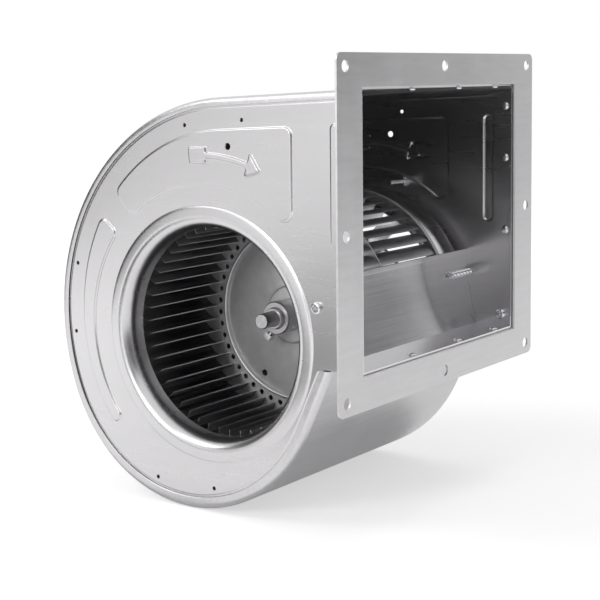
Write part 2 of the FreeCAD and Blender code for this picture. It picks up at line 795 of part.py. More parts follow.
tongue_height = size("cutoff_top_height")
cutoff = tongue_strip(cutoff_gauge, 0, tongue_height, floor_under)
hem_low = tongue_height - size("cutoff_hem")
cutoff = cutoff.fuse(tongue_strip(cutoff_gauge, cutoff_gauge, tongue_height, hem_low))
floor_left = tongue_place(floor_under)
floor_plate = Part.makeBox(outlet_end - seat - floor_left, 2 * tongue_half, cutoff_gauge,
                           Vector(floor_left, -tongue_half, floor_under))
cutoff = cutoff.fuse(floor_plate)
tab_left = floor_left + size("tab_setback")
tab = Part.makeBox(outlet_end - seat - tab_left, cutoff_gauge, size("tab_height + cutoff_gauge"),
                   Vector(tab_left, tongue_half - cutoff_gauge, floor_under))
ear = rod(size("tab_ear_radius"), tongue_half - cutoff_gauge, tongue_half, tab_screw_x, tab_screw_z)
tab = tab.fuse(ear)
tab = tab.cut(rod(tab_hole, 0, plate_face, tab_screw_x, tab_screw_z))
cutoff = cutoff.fuse(tab).fuse(mirrored(tab))
for row in rivet_rows:
    cutoff = cutoff.cut(Part.makeCylinder(rivet_hole, 4, Vector(rivet_x, row, floor_under - 2)))
shape_piece("cutoff_plate", cutoff.removeSplitter())

# Outlet flange: flat frame whose inner edge is bent back as a neck round the duct
neck_half = lip_face + seat
wrapper_top_line = scroll_edges(rim_depth, outlet_end)[1]
neck_top = wrapper_top_line.z + seat
flange_mid = size("shaft_drop")
opening = [(-neck_half, neck_under), (neck_half, neck_under), (neck_half, neck_top), (-neck_half, neck_top)]


def across_outlet(corners, low, high):
    """Prism along X over (y, z) corners about the shaft."""
    spots = [Vector(low, side, up) for side, up in corners]
    return Part.Face(Part.makePolygon(spots + [spots[0]])).extrude(Vector(high - low, 0, 0))


def grown(corners, margin):
    (left, bottom), (right, top) = corners[0], corners[2]
    return [(left - margin, bottom - margin), (right + margin, bottom - margin),
            (right + margin, top + margin), (left - margin, top + margin)]


face_x = size("flange_to_shaft")
half_width = size("flange_width") / 2
half_height = size("flange_height") / 2
frame_corners = [(-half_width, flange_mid - half_height), (half_width, flange_mid - half_height),
                 (half_width, flange_mid + half_height), (-half_width, flange_mid + half_height)]
flange = across_outlet(frame_corners, outlet_end, face_x)
corner_edges = [edge for edge in flange.Edges if edge.BoundBox.XLength > size("flange_gauge") / 2]
flange = flange.makeFillet(size("flange_corner_radius"), corner_edges)
neck_gauge = size("neck_gauge")
neck = across_outlet(grown(opening, neck_gauge), outlet_end - size("neck_depth"), face_x)
flange = flange.fuse(neck)
flange = flange.cut(across_outlet(opening, outlet_end - size("neck_depth") - 1, face_x + 1))
mouth_edges = []
for edge in flange.Edges:
    box = edge.BoundBox
    on_face = abs(box.XMin - face_x) < 1e-6 and abs(box.XMax - face_x) < 1e-6
    in_mouth = max(abs(box.YMin), abs(box.YMax)) < neck_half + 1e-6
    if on_face and in_mouth:
        mouth_edges.append(edge)
WIDEST_BEND = 0.95
mouth_bend = min(size("neck_bend_radius"), neck_gauge * WIDEST_BEND)
flange = flange.makeFillet(mouth_bend, mouth_edges)
hole_across = size("flange_hole_spacing_across") / 2
hole_up = size("flange_hole_spacing_up") / 2
for side in (-1, 0, 1):
    for level in (-1, 0, 1):
        if side == 0 and level == 0:
            continue
        spot = Vector(outlet_end - 1, side * hole_across, flange_mid + level * hole_up)
        drill = Part.makeCylinder(size("flange_hole_radius"), size("flange_gauge") + 2, spot, Vector(1, 0, 0))
        flange = flange.cut(drill)
for row in rivet_rows:
    flange = flange.cut(Part.makeCylinder(rivet_hole, 2 * neck_gauge + 2,
                                          Vector(rivet_x, row, neck_under - neck_gauge - 1)))
    flange = flange.cut(Part.makeCylinder(rivet_hole, 2 * neck_gauge + 2, Vector(rivet_x, row, neck_top - 1)))
for height in rivet_heights:
    flange = flange.cut(rod(rivet_hole, -neck_half - BEYOND, neck_half + BEYOND, rivet_x, height))
flange = flange.cut(rod(tab_hole + 1, -neck_half - BEYOND, neck_half + BEYOND, tab_screw_x, tab_screw_z))
shape_piece("outlet_flange", flange.removeSplitter())


# Blind rivets: round head inside the duct, tail outside the flange neck
def rivet(grip):
    """Rivet along +Z: head under the origin, shank through the grip, tail above."""
    radius = size("rivet_radius")
    head_radius = size("rivet_head_radius")
    head_height = size("rivet_head_height")
    dome_radius = (head_radius ** 2 + head_height ** 2) / (2 * head_height)
    dome = Part.makeSphere(dome_radius, Vector(0, 0, dome_radius - head_height))
    dome = dome.common(Part.makeCylinder(head_radius, head_height, Vector(0, 0, -head_height)))
    shank = Part.makeCylinder(radius, grip, Vector(0, 0, 0))
    tail = Part.makeCylinder(radius + size("rivet_tail_margin"), size("rivet_tail_height"),
                             Vector(0, 0, grip))
    return dome.fuse(shank).fuse(tail).removeSplitter()


def turned_to(shape, spot, direction):
    """Moves a shape drawn along +Z to a spot, pointing in a direction."""
    moved = shape.copy()
    moved.Placement = Placement(spot, Rotation(Vector(0, 0, 1), direction))
    return moved


# Parts that would press on each other are drawn this far apart
touch = 0.02
# The sloping top falls a little further under a rivet's head than at its middle
HEAD_DROP = 0.25
rivets = []
top_fall = size("rivet_setback") * math.tan(math.radians(slope))
top_inside = wrapper_top_line.z - wrapper_gauge - top_fall - HEAD_DROP
for row in rivet_rows:
    top_grip = neck_top + neck_gauge - top_inside + touch
    rivets.append(turned_to(rivet(top_grip), Vector(rivet_x, row, top_inside - touch), Vector(0, 0, 1)))
    floor_grip = floor_top - neck_under + neck_gauge + 2 * touch
    rivets.append(turned_to(rivet(floor_grip), Vector(rivet_x, row, floor_top + touch), Vector(0, 0, -1)))
side_grip = neck_half + neck_gauge - plate_inside + 2 * touch
for height in rivet_heights:
    for side in (-1, 1):
        spot = Vector(rivet_x, side * (plate_inside - touch), height)
        rivets.append(turned_to(rivet(side_grip), spot, Vector(0, side, 0)))
shape_piece("flange_rivets", Part.makeCompound(rivets))


# Pan-head screws: dome head with a cross recess left to the finish, plain shank
HEAD_ROUND_SHARE = 0.6


def pan_screw(radius, head_radius, length):
    """Screw along +Z with its head below the origin."""
    head_height = size("pan_head_height")
    head = Part.makeCylinder(head_radius, head_height, Vector(0, 0, -head_height))
    rim = [edge for edge in head.Edges if edge.BoundBox.ZLength < 1e-6 and edge.BoundBox.ZMin < -0.1]
    head = head.makeFillet(head_height * HEAD_ROUND_SHARE, rim)
    return head.fuse(Part.makeCylinder(radius, length, Vector(0, 0, 0))).removeSplitter()


stop_screws = []
tab_screws = []
for side in (-1, 1):
    stop = pan_screw(size("stop_screw_radius"), size("stop_screw_head_radius"), size("stop_screw_length"))
    spot = Vector(stop_x, side * (plate_face + touch), stop_z)
    stop_screws.append(turned_to(stop, spot, Vector(0, -side, 0)))
    short = pan_screw(size("tab_screw_radius"), size("tab_screw_radius") * 2, size("tab_screw_length"))
    spot = Vector(tab_screw_x, side * (tongue_half - cutoff_gauge - touch), tab_screw_z)
    tab_screws.append(turned_to(short, spot, Vector(0, side, 0)))
shape_piece("stop_screws", Part.makeCompound(stop_screws))
shape_piece("tab_screws", Part.makeCompound(tab_screws))

# Wheel: blades run from end ring to end ring, through slots in the centre disc
half_wheel = size("wheel_half_width")
ring_gauge = size("ring_gauge")
blade_half = half_wheel - ring_gauge - size("blade_end_clearance")
bore_radius = size("wheel_radius - blade_depth")
tip_radius = size("wheel_radius - blade_tip_clearance")
blade_gauge = size("blade_gauge")
blade_count = int(round(size("blade_count")))


def blade_outline(extra, reach):
    """Section of one blade: an arc leaning forward, grown by extra on every side."""
    curve = size("blade_curve_radius")
    inlet = math.radians(size("blade_inlet_angle"))
    start = Vector(bore_radius, 0, 0)
    heading = Vector(math.sin(inlet), 0, math.cos(inlet))
    centre = start + Vector(heading.z, 0, -heading.x) * curve
    ring_distance = centre.Length
    corner = (ring_distance ** 2 + curve ** 2 - tip_radius ** 2) / (2 * ring_distance * curve)
    swing = math.degrees(math.acos(max(-1.0, min(1.0, corner))))
    to_axis = math.degrees(math.atan2(-centre.z, -centre.x))
    first = math.degrees(math.atan2(start.z - centre.z, start.x - centre.x))
    last = to_axis - swing
    if last > first:
        last -= 360.0
    first += math.degrees(reach / curve)
    last -= math.degrees(reach / curve)

    def at(radius, angle):
        across, up = polar(radius, angle)
        return centre + Vector(across, 0, up)

    middle = (first + last) / 2
    outside = curve + blade_gauge / 2 + extra
    inside = curve - blade_gauge / 2 - extra
    return Part.Wire([
        Part.Arc(at(outside, first), at(outside, middle), at(outside, last)).toShape(),
        Part.makeLine(at(outside, last), at(inside, last)),
        Part.Arc(at(inside, last), at(inside, middle), at(inside, first)).toShape(),
        Part.makeLine(at(inside, first), at(outside, first)),
    ])


def round_the_wheel(shape):
    """Copies of a shape at every blade's place."""
    copies = []
    for index in range(blade_count):
        copy = shape.copy()
        copy.rotate(Vector(0, 0, 0), Vector(0, 1, 0), index * 360.0 / blade_count)
        copies.append(copy)
    return copies


blade = prism(blade_outline(0.0, 0.0), -blade_half, blade_half)
shape_piece("blades", Part.makeCompound(round_the_wheel(blade)))

# Centre disc: dished sheet with a bead near its rim, slots for the blades and a hole by each
disc_gauge = size("disc_gauge")
hub_seat_radius = size("shaft_radius + hub_bore_clearance + hub_spigot_wall + hub_spigot_clearance")
bead_radius = bore_radius - size("disc_bead_inset")
bead_lead = size("disc_bead_lead")
bead_round = size("disc_bead_round")
dish = size("disc_dish")
emboss = size("disc_emboss")
emboss_radius = size("disc_hub_radius")
disc_edge = size("wheel_radius - disc_edge_margin")
flat_front = -disc_gauge / 2
BEAD_SHOULDER_SHARE = 0.75
bead_shoulder = bead_round * BEAD_SHOULDER_SHARE
front_line = [
    (hub_seat_radius, -dish - emboss),
    (emboss_radius - emboss, -dish - emboss),
    (emboss_radius, -dish),
    (bead_radius - bead_round - bead_lead, flat_front),
    (bead_radius - bead_shoulder, flat_front - bead_shoulder),
    (bead_radius, flat_front - bead_round),
    (bead_radius + bead_shoulder, flat_front - bead_shoulder),
    (bead_radius + bead_round + bead_lead, flat_front),
    (disc_edge, flat_front),
]
back_line = [(radius, place + disc_gauge) for radius, place in reversed(front_line)]
disc = turned_shape(front_line + back_line)
slot_end = size("blade_slot_end_clearance")
cutters = round_the_wheel(prism(blade_outline(size("blade_slot_clearance"), slot_end), -dish, dish))
hole_x, hole_z = polar(bore_radius - size("disc_hole_inset"), 180.0 / blade_count)
cutters += round_the_wheel(rod(size("disc_hole_radius"), -dish, dish, hole_x, hole_z))
key_x, key_z = polar(bore_radius - size("key_hole_inset"), size("key_hole_angle"))
cutters.append(rod(size("key_hole_radius"), -2 * dish, 2 * dish, key_x, key_z))
disc = disc.cut(Part.makeCompound(cutters))
shape_piece("centre_disc", disc)

# End rings: shallow channels that close round the blades' ends
ring_band = size("ring_band")
ring_web = size("ring_web")
for name, side in (("end_ring_front", "-"), ("end_ring_rear", "")):
    turned_body(name, [
        ("wheel_radius - ring_web", side + "(wheel_half_width)"),
        ("wheel_radius + ring_gauge", side + "(wheel_half_width)"),
        ("wheel_radius + ring_gauge", side + "(wheel_half_width - ring_band)"),
        ("wheel_radius", side + "(wheel_half_width - ring_band)"),
        ("wheel_radius", side + "(wheel_half_width - ring_gauge)"),
        ("wheel_radius - ring_web", side + "(wheel_half_width - ring_gauge)"),
    ])

# Motor shaft: turned bar with journals for the two bearings
turned_body("motor_shaft", [
    ("0", "-shaft_front_end"),
    ("shaft_radius - 1", "-shaft_front_end"),
    ("shaft_radius", "-shaft_front_end + 1"),
    ("shaft_radius", "motor_front - shield_boss_length"),
    ("journal_radius", "motor_front - shield_boss_length"),
    ("journal_radius", "core_front - winding_length"),
    ("shaft_radius", "core_front - winding_length"),
    ("shaft_radius", "core_rear + winding_length"),
    ("journal_radius", "core_rear + winding_length"),
    ("journal_radius", "shaft_rear_end"),
    ("0", "shaft_rear_end"),
])

# Hub: stepped collar, spigoted and swaged into the centre disc, drilled for the set screw
hub_body = turned_body("wheel_hub", [
    ("shaft_radius + hub_bore_clearance", "-hub_nose"),
    ("hub_step_radius", "-hub_nose"),
    ("hub_step_radius", "-hub_face"),
    ("hub_radius - 1", "-hub_face"),
    ("hub_radius", "-hub_face + 1"),
    ("hub_radius", "-disc_dish - disc_emboss - 0.02"),
    ("shaft_radius + hub_bore_clearance + hub_spigot_wall", "-disc_dish - disc_emboss - 0.02"),
    ("shaft_radius + hub_bore_clearance + hub_spigot_wall", "hub_back"),
    ("shaft_radius + hub_bore_clearance", "hub_back"),
])
screw_angle = size("set_screw_angle")
hub_hole = add_sketch(hub_body, "YZ_Plane", "set_screw_hole")
circle_outline(hub_hole, "-set_screw_place", "0", "set_screw_radius + hole_clearance")
drilled = hub_body.newObject("PartDesign::Pocket", "set_screw_drilling")
drilled.Profile = hub_hole
drilled.Reversed = True
drilled.setExpression("Length", bind("hub_radius + 5"))
doc.recompute()
on_shaft(hub_body, screw_angle)

# Set screw: square head, shank down to the shaft
screw_tip = size("shaft_radius") + touch
head_seat = size("hub_radius + set_screw_stand")
head_half = size("set_screw_head") / 2
screw = Part.makeCylinder(size("set_screw_radius"), head_seat - screw_tip, Vector(0, 0, screw_tip))
head = Part.makeBox(2 * head_half, 2 * head_half, size("set_screw_head_height"),
                    Vector(-head_half, -head_half, head_seat))
screw = screw.fuse(head).removeSplitter()
screw.rotate(Vector(0, 0, 0), Vector(0, 1, 0), 90.0 - screw_angle)
screw.translate(Vector(0, -size("set_screw_place"), 0))
shape_piece("set_screw", screw)

# Motor: rolled shell, two cast end shields, wound stator, rotor and two bearings
front = size("motor_front")
rear = size("motor_rear")
turned_body("motor_shell", [
    ("motor_radius - shell_gauge", "motor_front + shield_depth"),
    ("motor_radius", "motor_front + shield_depth"),
    ("motor_radius", "motor_rear - shield_depth"),
    ("motor_radius - shell_gauge", "motor_rear - shield_depth"),
])


def drilled_for_ties(body):
    """Four holes along the shaft's direction for the tie bolts."""
    sketch = add_sketch(body, "XZ_Plane", body.Label + "_tie_holes")
    step = "tie_bolt_circle * %.9f" % math.sqrt(0.5)
    for across in ("-", ""):
        for up in ("-", ""):
            circle_outline(sketch, across + step, up + step, "tie_bolt_radius + hole_clearance")
    pocket_through(body, sketch)
    doc.recompute()


def end_shield(name, corners):
    """Cast shield: rim, flat wall and a boss that holds the bearing."""
    drilled_for_ties(turned_body(name, corners))


end_shield("end_shield_front", [
    ("shaft_radius + 1.5", "motor_front - shield_boss_length"),
    ("shield_boss_radius - 3", "motor_front - shield_boss_length"),
    ("shield_boss_radius", "motor_front - shield_boss_length + 3"),
    ("shield_boss_radius", "motor_front"),
    ("motor_radius - 6", "motor_front"),
    ("motor_radius", "motor_front + 5"),
    ("motor_radius", "motor_front + shield_depth"),
    ("motor_radius - shield_wall", "motor_front + shield_depth"),
    ("motor_radius - shield_wall", "motor_front + shield_wall"),
    ("bearing_radius + 4", "motor_front + shield_wall"),
    ("bearing_radius + 4", "motor_front - shield_boss_length + 3 + bearing_width"),
    ("bearing_radius + 0.02", "motor_front - shield_boss_length + 3 + bearing_width"),
    ("bearing_radius + 0.02", "motor_front - shield_boss_length + 2.5"),
    ("shaft_radius + 1.5", "motor_front - shield_boss_length + 2.5"),
])
end_shield("end_shield_rear", [
    ("0", "motor_rear + shield_boss_length + 5.5"),
    ("shield_boss_radius - 3", "motor_rear + shield_boss_length + 5.5"),
    ("shield_boss_radius", "motor_rear + shield_boss_length + 2.5"),
    ("shield_boss_radius", "motor_rear"),
    ("motor_radius - 6", "motor_rear"),
    ("motor_radius", "motor_rear - 5"),
    ("motor_radius", "motor_rear - shield_depth"),
    ("motor_radius - shield_wall", "motor_rear - shield_depth"),
    ("motor_radius - shield_wall", "motor_rear - shield_wall"),
    ("bearing_radius + 4", "motor_rear - shield_wall"),
    ("bearing_radius + 4", "motor_rear + shield_boss_length - 3 - bearing_width"),
    ("bearing_radius + 0.02", "motor_rear + shield_boss_length - 3 - bearing_width"),
    ("bearing_radius + 0.02", "motor_rear + shield_boss_length - 2.5"),
    ("journal_radius + 2", "motor_rear + shield_boss_length - 2.5"),
    ("journal_radius + 2", "shaft_rear_end + 0.4"),
    ("0", "shaft_rear_end + 0.4"),
])
doc.recompute()
bearing_places = {
    "front": ("motor_front - shield_boss_length + 2.52",
              "motor_front - shield_boss_length + 2.52 + bearing_width"),
    "rear": ("motor_rear + shield_boss_length - 2.52 - bearing_width",
             "motor_rear + shield_boss_length - 2.52"),
}
for where, (low, high) in bearing_places.items():
    turned_body("bearing_outer_" + where, [
        ("bearing_inner_radius + 0.3", low), ("bearing_radius", low),
        ("bearing_radius", high), ("bearing_inner_radius + 0.3", high),
    ])
    turned_body("bearing_inner_" + where, [
        ("journal_radius + 0.02", low + " + 0.2"), ("bearing_inner_radius", low + " + 0.2"),
        ("bearing_inner_radius", high + " - 0.2"), ("journal_radius + 0.02", high + " - 0.2"),
    ])
drilled_for_ties(turned_body("stator_core", [
    ("rotor_radius + air_gap", "core_front"), ("motor_radius - shell_gauge - 0.02", "core_front"),
    ("motor_radius - shell_gauge - 0.02", "core_rear"), ("rotor_radius + air_gap", "core_rear"),
]))
windings = []
for low, high in ((size("core_front - winding_length"), size("core_front") - touch),
                  (size("core_rear") + touch, size("core_rear + winding_length"))):
    coil = rod(size("winding_outer_radius"), low, high)
    coil = coil.cut(rod(size("winding_inner_radius"), low - 1, high + 1))
    windings.append(coil)
shape_piece("stator_windings", Part.makeCompound(windings))
turned_body("rotor_core", [
    ("shaft_radius + 0.02", "core_front"), ("rotor_radius", "core_front"),
    ("rotor_radius", "core_rear"), ("shaft_radius + 0.02", "core_rear"),
])

# Rubber bush in the rear shield where the motor's leads come out
bush_x, bush_z = polar(size("lead_bush_circle"), size("lead_bush_angle"))
bush_top = rear + size("lead_bush_height")
lead_bush = rod(size("lead_bush_radius"), rear + touch, bush_top, bush_x, bush_z)
lead_bush = lead_bush.cut(rod(size("lead_bush_radius") / 2, rear - 1, bush_top + 1, bush_x, bush_z))
shape_piece("lead_bush", lead_bush)

# Motor mounting: a clamp band round the shell and three bent arms bolted to the rear side plate
band_low = size("band_middle - band_width / 2")
band_high = size("band_middle + band_width / 2")
band_inner = size("motor_radius") + touch
band_outer = band_inner + size("band_gauge")
ear_angle = size("band_ear_angle")
half_gap = size("band_gap") / 2
ear_top = band_outer + size("band_ear")
band = rod(band_outer, band_low, band_high).cut(rod(band_inner, band_low - 1, band_high + 1))
gap_cut = Part.makeBox(2 * half_gap, 2 * size("band_width"), ear_top + 10,
                       Vector(-half_gap, band_low - 10, 0))
ears = []
for side in (-1, 1):
    left = half_gap if side > 0 else -half_gap - size("band_gauge")
    ear = Part.makeBox(size("band_gauge"), size("band_width"), ear_top - band_inner,
                       Vector(left, band_low, band_inner + 0.2))
    ears.append(ear)
band_bolt_height = band_outer + size("band_ear") * 0.55
bolt_hole_radius = size("band_bolt_radius") + 0.2
bolt_hole = Part.makeCylinder(bolt_hole_radius, 2 * BEYOND,
                              Vector(-BEYOND, size("band_middle"), band_bolt_height), Vector(1, 0, 0))
band_in_place = band.cut(gap_cut.cut(rod(band_inner, band_low - 20, band_high + 20)))
for ear in ears:
    band_in_place = band_in_place.fuse(ear)
band_in_place = band_in_place.cut(bolt_hole).cut(rod(band_inner, band_low - 1, band_high + 1))


def to_ear(shape):
    """Turns a shape drawn at the top of the band to the place of its ears."""
    moved = shape.copy()
    moved.rotate(Vector(0, 0, 0), Vector(0, 1, 0), 90.0 - ear_angle)
    return moved


def hexagon(radius, low, high):
    """Six-sided prism along Z whose inscribed circle has the given radius."""
    corner = radius / math.cos(math.radians(30))
    spots = []
    for index in range(7):
        turn = math.radians(60 * index)
        spots.append(Vector(corner * math.cos(turn), corner * math.sin(turn), low))
    return Part.Face(Part.makePolygon(spots)).extrude(Vector(0, 0, high - low))


shape_piece("motor_band", to_ear(band_in_place.removeSplitter()))
ear_reach = half_gap + size("band_gauge") + touch
bolt_head = size("band_bolt_head_radius")
clamp_bolt = Part.makeCylinder(size("band_bolt_radius"), 2 * ear_reach + size("band_bolt_spare_length"),
                               Vector(0, 0, 0))
clamp_bolt = clamp_bolt.fuse(hexagon(bolt_head, -size("band_bolt_head_height"), 0))
clamp_bolt = turned_to(clamp_bolt.removeSplitter(), Vector(-ear_reach, size("band_middle"), band_bolt_height),
                       Vector(1, 0, 0))
shape_piece("band_bolt", to_ear(clamp_bolt))
nut_height = size("band_nut_height")
clamp_nut = hexagon(bolt_head, 0, nut_height)
clamp_nut = clamp_nut.cut(Part.makeCylinder(size("band_bolt_radius") + touch, nut_height + 2,
                                            Vector(0, 0, -1)))
clamp_nut = turned_to(clamp_nut, Vector(ear_reach, size("band_middle"), band_bolt_height), Vector(1, 0, 0))
shape_piece("band_nut", to_ear(clamp_nut))

# Arms: foot outside the plate, joggle over the bell, leg down to the band
arm_gauge = size("arm_gauge")
grommet_gauge = size("grommet_gauge")
foot_low = plate_face + touch + grommet_gauge + touch
joggle = foot_low + size("arm_joggle")
arm_end = arm_circle + size("arm_width") / 2
turn_radius = size("arm_turn_radius")
leg_radius = band_outer + touch
bend_in = arm_circle - size("arm_foot_inset")
bend_out = bend_in - size("arm_joggle_run")
leg_top = band_high + size("arm_leg_rise")
leg_end = band_low + size("arm_leg_setback")
# Shares of the sheet's thickness by which the inner line's corners stand back
JOGGLE_MITRE = 0.4
TURN_MITRE = 0.5
arm_section = [
    (arm_end, foot_low), (bend_in, foot_low), (bend_out, joggle), (turn_radius, joggle),
    (leg_radius + arm_gauge, leg_top), (leg_radius + arm_gauge, leg_end),
    (leg_radius, leg_end), (leg_radius, leg_top + arm_gauge * JOGGLE_MITRE),
    (turn_radius - arm_gauge * TURN_MITRE, joggle + arm_gauge),
    (bend_out + arm_gauge * JOGGLE_MITRE, joggle + arm_gauge),
    (bend_in + arm_gauge * JOGGLE_MITRE, foot_low + arm_gauge), (arm_end, foot_low + arm_gauge),
]


def to_arm(shape, angle):
    """Turns a shape drawn in the plane of +X to an arm's angle."""
    moved = shape.copy()
    moved.rotate(Vector(0, 0, 0), Vector(0, 1, 0), -angle)
    return moved


half_arm = size("arm_width") / 2
spots = [Vector(radius, place, -half_arm) for radius, place in arm_section]
arm = Part.Face(Part.makePolygon(spots + [spots[0]])).extrude(Vector(0, 0, 2 * half_arm))
foot_corners = []
for edge in arm.Edges:
    if edge.BoundBox.XMin > arm_end - 1e-6 and edge.BoundBox.YLength > arm_gauge / 2:
        foot_corners.append(edge)
arm = arm.makeFillet(half_arm * 0.6, foot_corners)
arm = arm.cut(rod(band_outer + touch, band_low - 20, band_high + 40))
bolt_clear = size("arm_bolt_radius + hole_clearance")
arm = arm.cut(rod(bolt_clear, foot_low - 5, foot_low + 20, arm_circle, 0))
screw_place = size("band_middle")
arm_screw_hole = Part.makeCylinder(size("arm_screw_radius + hole_clearance"), BEYOND,
                                   Vector(leg_radius - 5, screw_place, 0), Vector(1, 0, 0))
arm = arm.cut(arm_screw_hole)
for number, angle in enumerate(arm_angles, start=1):
    shape_piece("motor_arm_%d" % number, to_arm(arm, angle))

arm_screw = pan_screw(size("arm_screw_radius"), size("arm_screw_head_radius"), arm_gauge + 2 * touch)
arm_screw = turned_to(arm_screw, Vector(leg_radius + arm_gauge + touch, screw_place, 0), Vector(-1, 0, 0))
grommet = rod(size("grommet_radius"), plate_face + touch, plate_face + touch + grommet_gauge, arm_circle, 0)
grommet = grommet.cut(rod(bolt_clear, plate_face - 1, plate_face + 10, arm_circle, 0))
arm_bolt = Part.makeCylinder(size("arm_bolt_radius"), size("arm_bolt_length"), Vector(0, 0, 0))
arm_bolt = arm_bolt.fuse(hexagon(size("nut_radius"), -size("arm_bolt_head_height"), 0)).removeSplitter()
arm_bolt = turned_to(arm_bolt, Vector(arm_circle, foot_low + arm_gauge + touch, 0), Vector(0, -1, 0))
arm_nut = hexagon(size("nut_radius"), 0, size("nut_height"))
arm_nut = arm_nut.cut(Part.makeCylinder(size("arm_bolt_radius") + touch, 20, Vector(0, 0, -5)))
arm_nut = turned_to(arm_nut, Vector(arm_circle, plate_inside - touch, 0), Vector(0, -1, 0))
for name, shape in (("arm_screws", arm_screw), ("arm_grommets", grommet),
                    ("arm_bolts", arm_bolt), ("arm_nuts", arm_nut)):
    shape_piece(name, Part.makeCompound([to_arm(shape, angle) for angle in arm_angles]))

# Tie bolts that pull the end shields together over the stator: head behind, nut in front
tie_bolt = rod(size("tie_bolt_radius"), front - size("tie_bolt_reach"), rear + touch)
tie_hexagon = size("tie_head_radius")
tie_head = turned_to(hexagon(tie_hexagon, 0, size("tie_head_height")),
                     Vector(0, rear + touch, 0), Vector(0, 1, 0))
tie_nut = turned_to(hexagon(tie_hexagon, 0, size("tie_nut_height")),
                    Vector(0, front - touch, 0), Vector(0, -1, 0))
tie_bolt = tie_bolt.fuse(tie_head).fuse(tie_nut).removeSplitter()
tie_bolts = []
for quarter in range(4):
    across, up = polar(size("tie_bolt_circle"), 45.0 + 90.0 * quarter)
    placed = tie_bolt.copy()
    placed.translate(Vector(across, 0, up))
    tie_bolts.append(placed)
shape_piece("tie_bolts", Part.makeCompound(tie_bolts))

doc.recompute()

# Every object and every piece is tested before anything is written
faults = []
for item in doc.Objects:
    if "Invalid" in item.State or "Error" in item.State:
        faults.append("%s is in state %s" % (item.Label, item.State))
for name, item in pieces.items():
    if item.Shape.isNull() or not item.Shape.isValid():
        faults.append("%s has no valid shape" % name)
    elif not item.Shape.Solids:
        faults.append("%s has no solid" % name)
if faults:
    raise RuntimeError("; ".join(faults))

os.makedirs("parts", exist_ok=True)
triangles = 0
for name, item in pieces.items():
    item.Shape.exportStep("parts/%s.step" % name)
    facets = len(item.Shape.tessellate(0.3)[1])
    triangles += facets
    print("%-22s solids %3d  volume %12.1f  triangles %d" % (
        name, len(item.Shape.Solids), item.Shape.Volume, facets))
print("pieces %d, triangles %d" % (len(pieces), triangles))
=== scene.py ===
import math

import bmesh
import bpy
from mathutils import Matrix, Vector
from mathutils.geometry import delaunay_2d_cdt


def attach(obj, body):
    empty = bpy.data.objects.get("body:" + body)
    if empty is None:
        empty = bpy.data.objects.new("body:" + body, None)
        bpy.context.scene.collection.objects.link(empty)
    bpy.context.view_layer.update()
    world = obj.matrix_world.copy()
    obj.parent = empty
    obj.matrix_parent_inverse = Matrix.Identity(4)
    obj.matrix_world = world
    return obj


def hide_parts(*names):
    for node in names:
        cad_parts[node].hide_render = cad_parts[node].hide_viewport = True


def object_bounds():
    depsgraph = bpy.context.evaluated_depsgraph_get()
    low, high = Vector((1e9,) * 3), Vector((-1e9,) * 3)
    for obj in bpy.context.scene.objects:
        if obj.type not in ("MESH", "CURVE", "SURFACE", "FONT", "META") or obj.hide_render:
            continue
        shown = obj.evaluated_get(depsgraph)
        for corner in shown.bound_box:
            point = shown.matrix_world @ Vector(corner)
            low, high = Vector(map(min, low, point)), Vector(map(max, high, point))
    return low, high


# Double-inlet centrifugal fan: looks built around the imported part.
# Shapes are drawn in millimetres about the wheel's shaft (x out of the outlet, y along
# the shaft, z up), and put into the row frame, in metres, by finish_piece.

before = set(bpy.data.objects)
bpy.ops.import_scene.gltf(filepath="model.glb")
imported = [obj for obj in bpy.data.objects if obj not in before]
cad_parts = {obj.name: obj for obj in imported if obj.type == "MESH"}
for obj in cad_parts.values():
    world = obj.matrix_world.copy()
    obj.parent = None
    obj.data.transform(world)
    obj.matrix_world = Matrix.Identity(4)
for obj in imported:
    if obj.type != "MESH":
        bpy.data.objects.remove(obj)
frame_low, frame_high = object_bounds()

MM = 0.001
SHAFT_X = -183.5
SHAFT_Z = -110.0
PLATE_FACE = 145.8
PLATE_GAUGE = 1.2
OUTLET_END = 181.5
QUARTER_TURN = math.pi / 2
FULL_TURN = 2 * math.pi

# Looks: procedural finishes for sheet, turned steel, zinc, paint, copper and rubber. They
# read Object coordinates, which are metres in the row frame.
NOISE = "ShaderNodeTexNoise"
RANGE = "ShaderNodeMapRange"
MIX = "ShaderNodeMix"
BUMP = "ShaderNodeBump"
# near-white mixed into sharp edges by their pointiness: a painted highlight
EDGE_HIGHLIGHT = (0.95, 0.95, 0.96, 1)


def new_node(tree, kind, values=None, **traits):
    """A new node of a kind, with its traits and the values of its named inputs set."""
    node = tree.nodes.new(kind)
    for trait, value in traits.items():
        setattr(node, trait, value)
    for key, value in (values or {}).items():
        node.inputs[key].default_value = value
    return node


def wire(tree, *links):
    """Links a tree's nodes, each link as (node, output, node, input)."""
    for source, output, target, entrance in links:
        tree.links.new(source.outputs[output], target.inputs[entrance])


